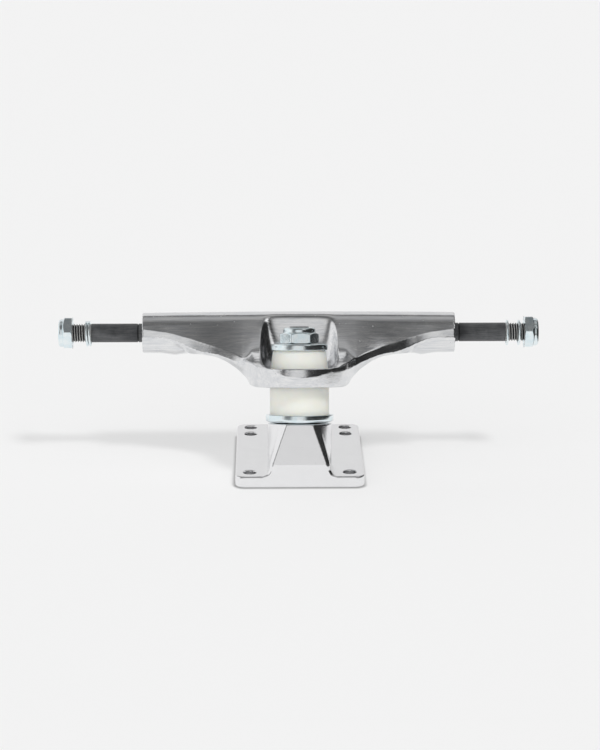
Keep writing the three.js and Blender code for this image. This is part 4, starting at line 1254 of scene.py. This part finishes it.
def bushings():
    bore = KINGPIN_RADIUS + GAP
    height = BOTTOM_BUSHING_HEIGHT
    profile = [(bore, 0), (BOTTOM_BUSHING_RADIUS, 0), (BOTTOM_BUSHING_RADIUS, height), (bore, height)]
    bushing("bottom_urethane", bushing_skin(profile, [0.3, 0.6, 0.6, 0.3], S_BOTTOM_BUSHING),
            "bottom_bushing")
    height = TOP_BUSHING_HEIGHT
    shoulder = height - (TOP_WASHER_HEIGHT - TOP_WASHER_FLOOR) - GAP
    neck = TOP_WASHER_RADIUS - TOP_WASHER_LIP - GAP
    profile = [(bore, 0), (TOP_BUSHING_RADIUS, 0), (TOP_BUSHING_RADIUS, UPPER_SEAT_DEPTH),
               (TOP_BUSHING_SMALL, shoulder), (neck, shoulder), (neck, height), (bore, height)]
    bushing("top_urethane", bushing_skin(profile, [0.3, 0.5, 1.5, 0.3, 0.1, 0.3, 0.3], S_TOP_BUSHING),
            "top_bushing")


# Lock nuts


def soft_least(values, softness):
    """The least of some rows of values, with the change from one to the next rounded."""
    values = np.array(values)
    least = values.min(0)
    return least - softness * np.log(np.exp((least - values) / softness).sum(0))


NUT_SIDES = 144
NUT_CHAMFER = math.tan(math.radians(30))
BASE_FACE_SHARE = 1.07
HEXAGON_SOFTNESS = 0.05
CHAMFER_SOFTNESS = 0.06


def lock_nut(flats, hexagon, collar, bore, place):
    """Skins of a hexagon with both ends chamfered and a rolled collar, and of the insert that it holds."""
    turn = angles(NUT_SIDES)
    facing = np.maximum(0.2, np.cos(turn[None] - angles(6)[:, None]))
    hexagon_radius = soft_least(flats / 2 / facing, HEXAGON_SOFTNESS)
    cavity = bore + INSERT_WALL + GAP
    collar_radius = cavity + COLLAR_WALL
    base_face = flats / 2 * BASE_FACE_SHARE
    top_face = collar_radius + 0.2
    rows = []

    def add(radius, height):
        radius = np.broadcast_to(radius, turn.shape)
        rows.append([(r * math.cos(t), r * math.sin(t), height) for r, t in zip(radius, turn)])

    add(bore, 0.5)
    add(bore + 0.1, 0.2)
    add(bore + 0.4, 0)
    add(base_face - 0.2, 0)
    for level in hexagon * (1 - np.cos(np.linspace(0, math.pi, 33))) / 2:
        low_cone = np.full(NUT_SIDES, base_face + level / NUT_CHAMFER)
        high_cone = np.full(NUT_SIDES, top_face + (hexagon - level) / NUT_CHAMFER)
        add(soft_least([hexagon_radius, low_cone, high_cone], CHAMFER_SOFTNESS), level)
    top = hexagon + collar - COLLAR_SET_IN
    add(collar_radius + 0.06, hexagon + 0.06)
    add(collar_radius, hexagon + 0.25)
    straight = hexagon + collar * 0.4
    add(collar_radius, straight)
    inner = lerp(bore, cavity, 0.5)
    for angle in np.linspace(0, math.pi / 2, 13)[1:]:
        add(lerp(inner + 0.15, collar_radius, math.cos(angle)), lerp(straight, top, math.sin(angle)))
    add(inner, top - 0.12)
    add(inner, top - COLLAR_ROLL)
    add(cavity, top - COLLAR_ROLL - 0.1)
    add(cavity, hexagon)
    add(bore, hexagon)
    nut = skin(rows, wrap=True, place=place)
    outer, low, high = bore + INSERT_WALL, hexagon + GAP, top - COLLAR_ROLL - GAP
    insert = turned(rounded([(bore, low), (outer, low), (outer, high), (bore, high)], 0.12, True), 96, place)
    return nut, insert


def nut_pieces(name, size, place):
    nut, insert = lock_nut(**size, place=place)
    piece(f"{name}_locknut", nut, "zinc_steel", name, name)
    lift = {"kingpin_nut": "kingpin_nut_lift"}.get(name, f"{name}_shift")
    piece(f"{name}_nylon", insert, "nylon", lift, f"{name}_insert")


def nuts():
    place = raised(S_NUT) @ Matrix.Rotation(math.radians(NUT_TURN["kingpin"]), 4, "Z")
    nut_pieces("kingpin_nut", KINGPIN_NUT, place)
    start = HALF_AXLE + AXLE_NUT_STAND_OUT - AXLE_NUT["hexagon"] - AXLE_NUT["collar"]
    for side in ("left", "right"):
        turn = Matrix.Rotation(math.radians(NUT_TURN[side]), 4, "Z")
        nut_pieces(f"{side}_axle_nut", AXLE_NUT, AXLE_FRAMES[side] @ Matrix.Translation((0, 0, start)) @ turn)


# Axle and rings


def axle():
    shoulder = HALF_AXLE - THREAD_LENGTH
    groove = HALF_HANGER + AXLE_GROOVE_OUT
    wide = AXLE_GROOVE_WIDTH / 2
    half = [circle_row(AXLE_RADIUS, 0)]
    for depth, place in ((0, -wide * 1.3), (1, -wide), (1, wide), (0, wide * 1.3)):
        half.append(circle_row(AXLE_RADIUS - AXLE_GROOVE_DEPTH * depth, groove + place))
    half += [circle_row(AXLE_RADIUS, shoulder - 0.25), circle_row(AXLE_RADIUS - 0.03, shoulder)]
    half += threaded_end(shoulder, HALF_AXLE, THREAD_RADIUS, AXLE_CHAMFER, 0.1)
    turn = np.array(Matrix.Rotation(math.pi, 3, "Y"))
    other = [[tuple(turn @ np.array(p)) for p in reversed(row)] for row in half[1:]]
    # The turned rows start half way round, so they are rolled on to line up with the first half's
    other = [row if len(row) == 1 else np.roll(row, 1 + len(row) // 2, 0) for row in other]
    made = skin(other[::-1] + half, place=AXLE_FRAMES["right"])
    return piece("axle_bar", made, "black_steel", "hanger", "axle")


def speed_rings():
    thickness = SPEED_RING_THICKNESS
    profile = [(RING_INNER, 0), (RING_OUTER, 0), (RING_OUTER, thickness), (RING_INNER, thickness)]
    middle = Matrix.Translation((0, 0, thickness / 2))
    drop = Matrix.Translation((0, 0, -SPEED_RING_DROP))
    for name, start in SPEED_RINGS.items():
        side = name.split("_")[0]
        lean = middle @ Matrix.Rotation(SPEED_RING_LEAN[side], 4, "Y") @ middle.inverted()
        place = drop @ AXLE_FRAMES[side] @ Matrix.Translation((0, 0, start)) @ lean
        turned_piece(f"{name}_washer", profile, 0.3, True, 96, place, "zinc_steel", name, name)


def pivot_cup():
    inner = NOSE_ROOT - NOSE_TIP / 2 + GAP
    narrow = NOSE_RADIUS + GAP
    profile = [(0, CUP_END), (CUP_RADIUS, CUP_END), (CUP_RADIUS, NOSE_MOUTH), (inner, NOSE_MOUTH),
               (narrow, NOSE_END - NOSE_TIP), (narrow, NOSE_END + GAP), (0, NOSE_END + GAP)]
    radii = [0, 0.6, 0.5, 0.4, 0.5, 0.5, 0]
    turned_piece("pivot_cup_moulding", profile, radii, False, 96, STEER_FRAME, "cup_plastic", "base", "pivot_cup")


baseplate()
hanger()
kingpin()
bottom_washer()
top_washer()
bushings()
nuts()
axle()
speed_rings()
pivot_cup()
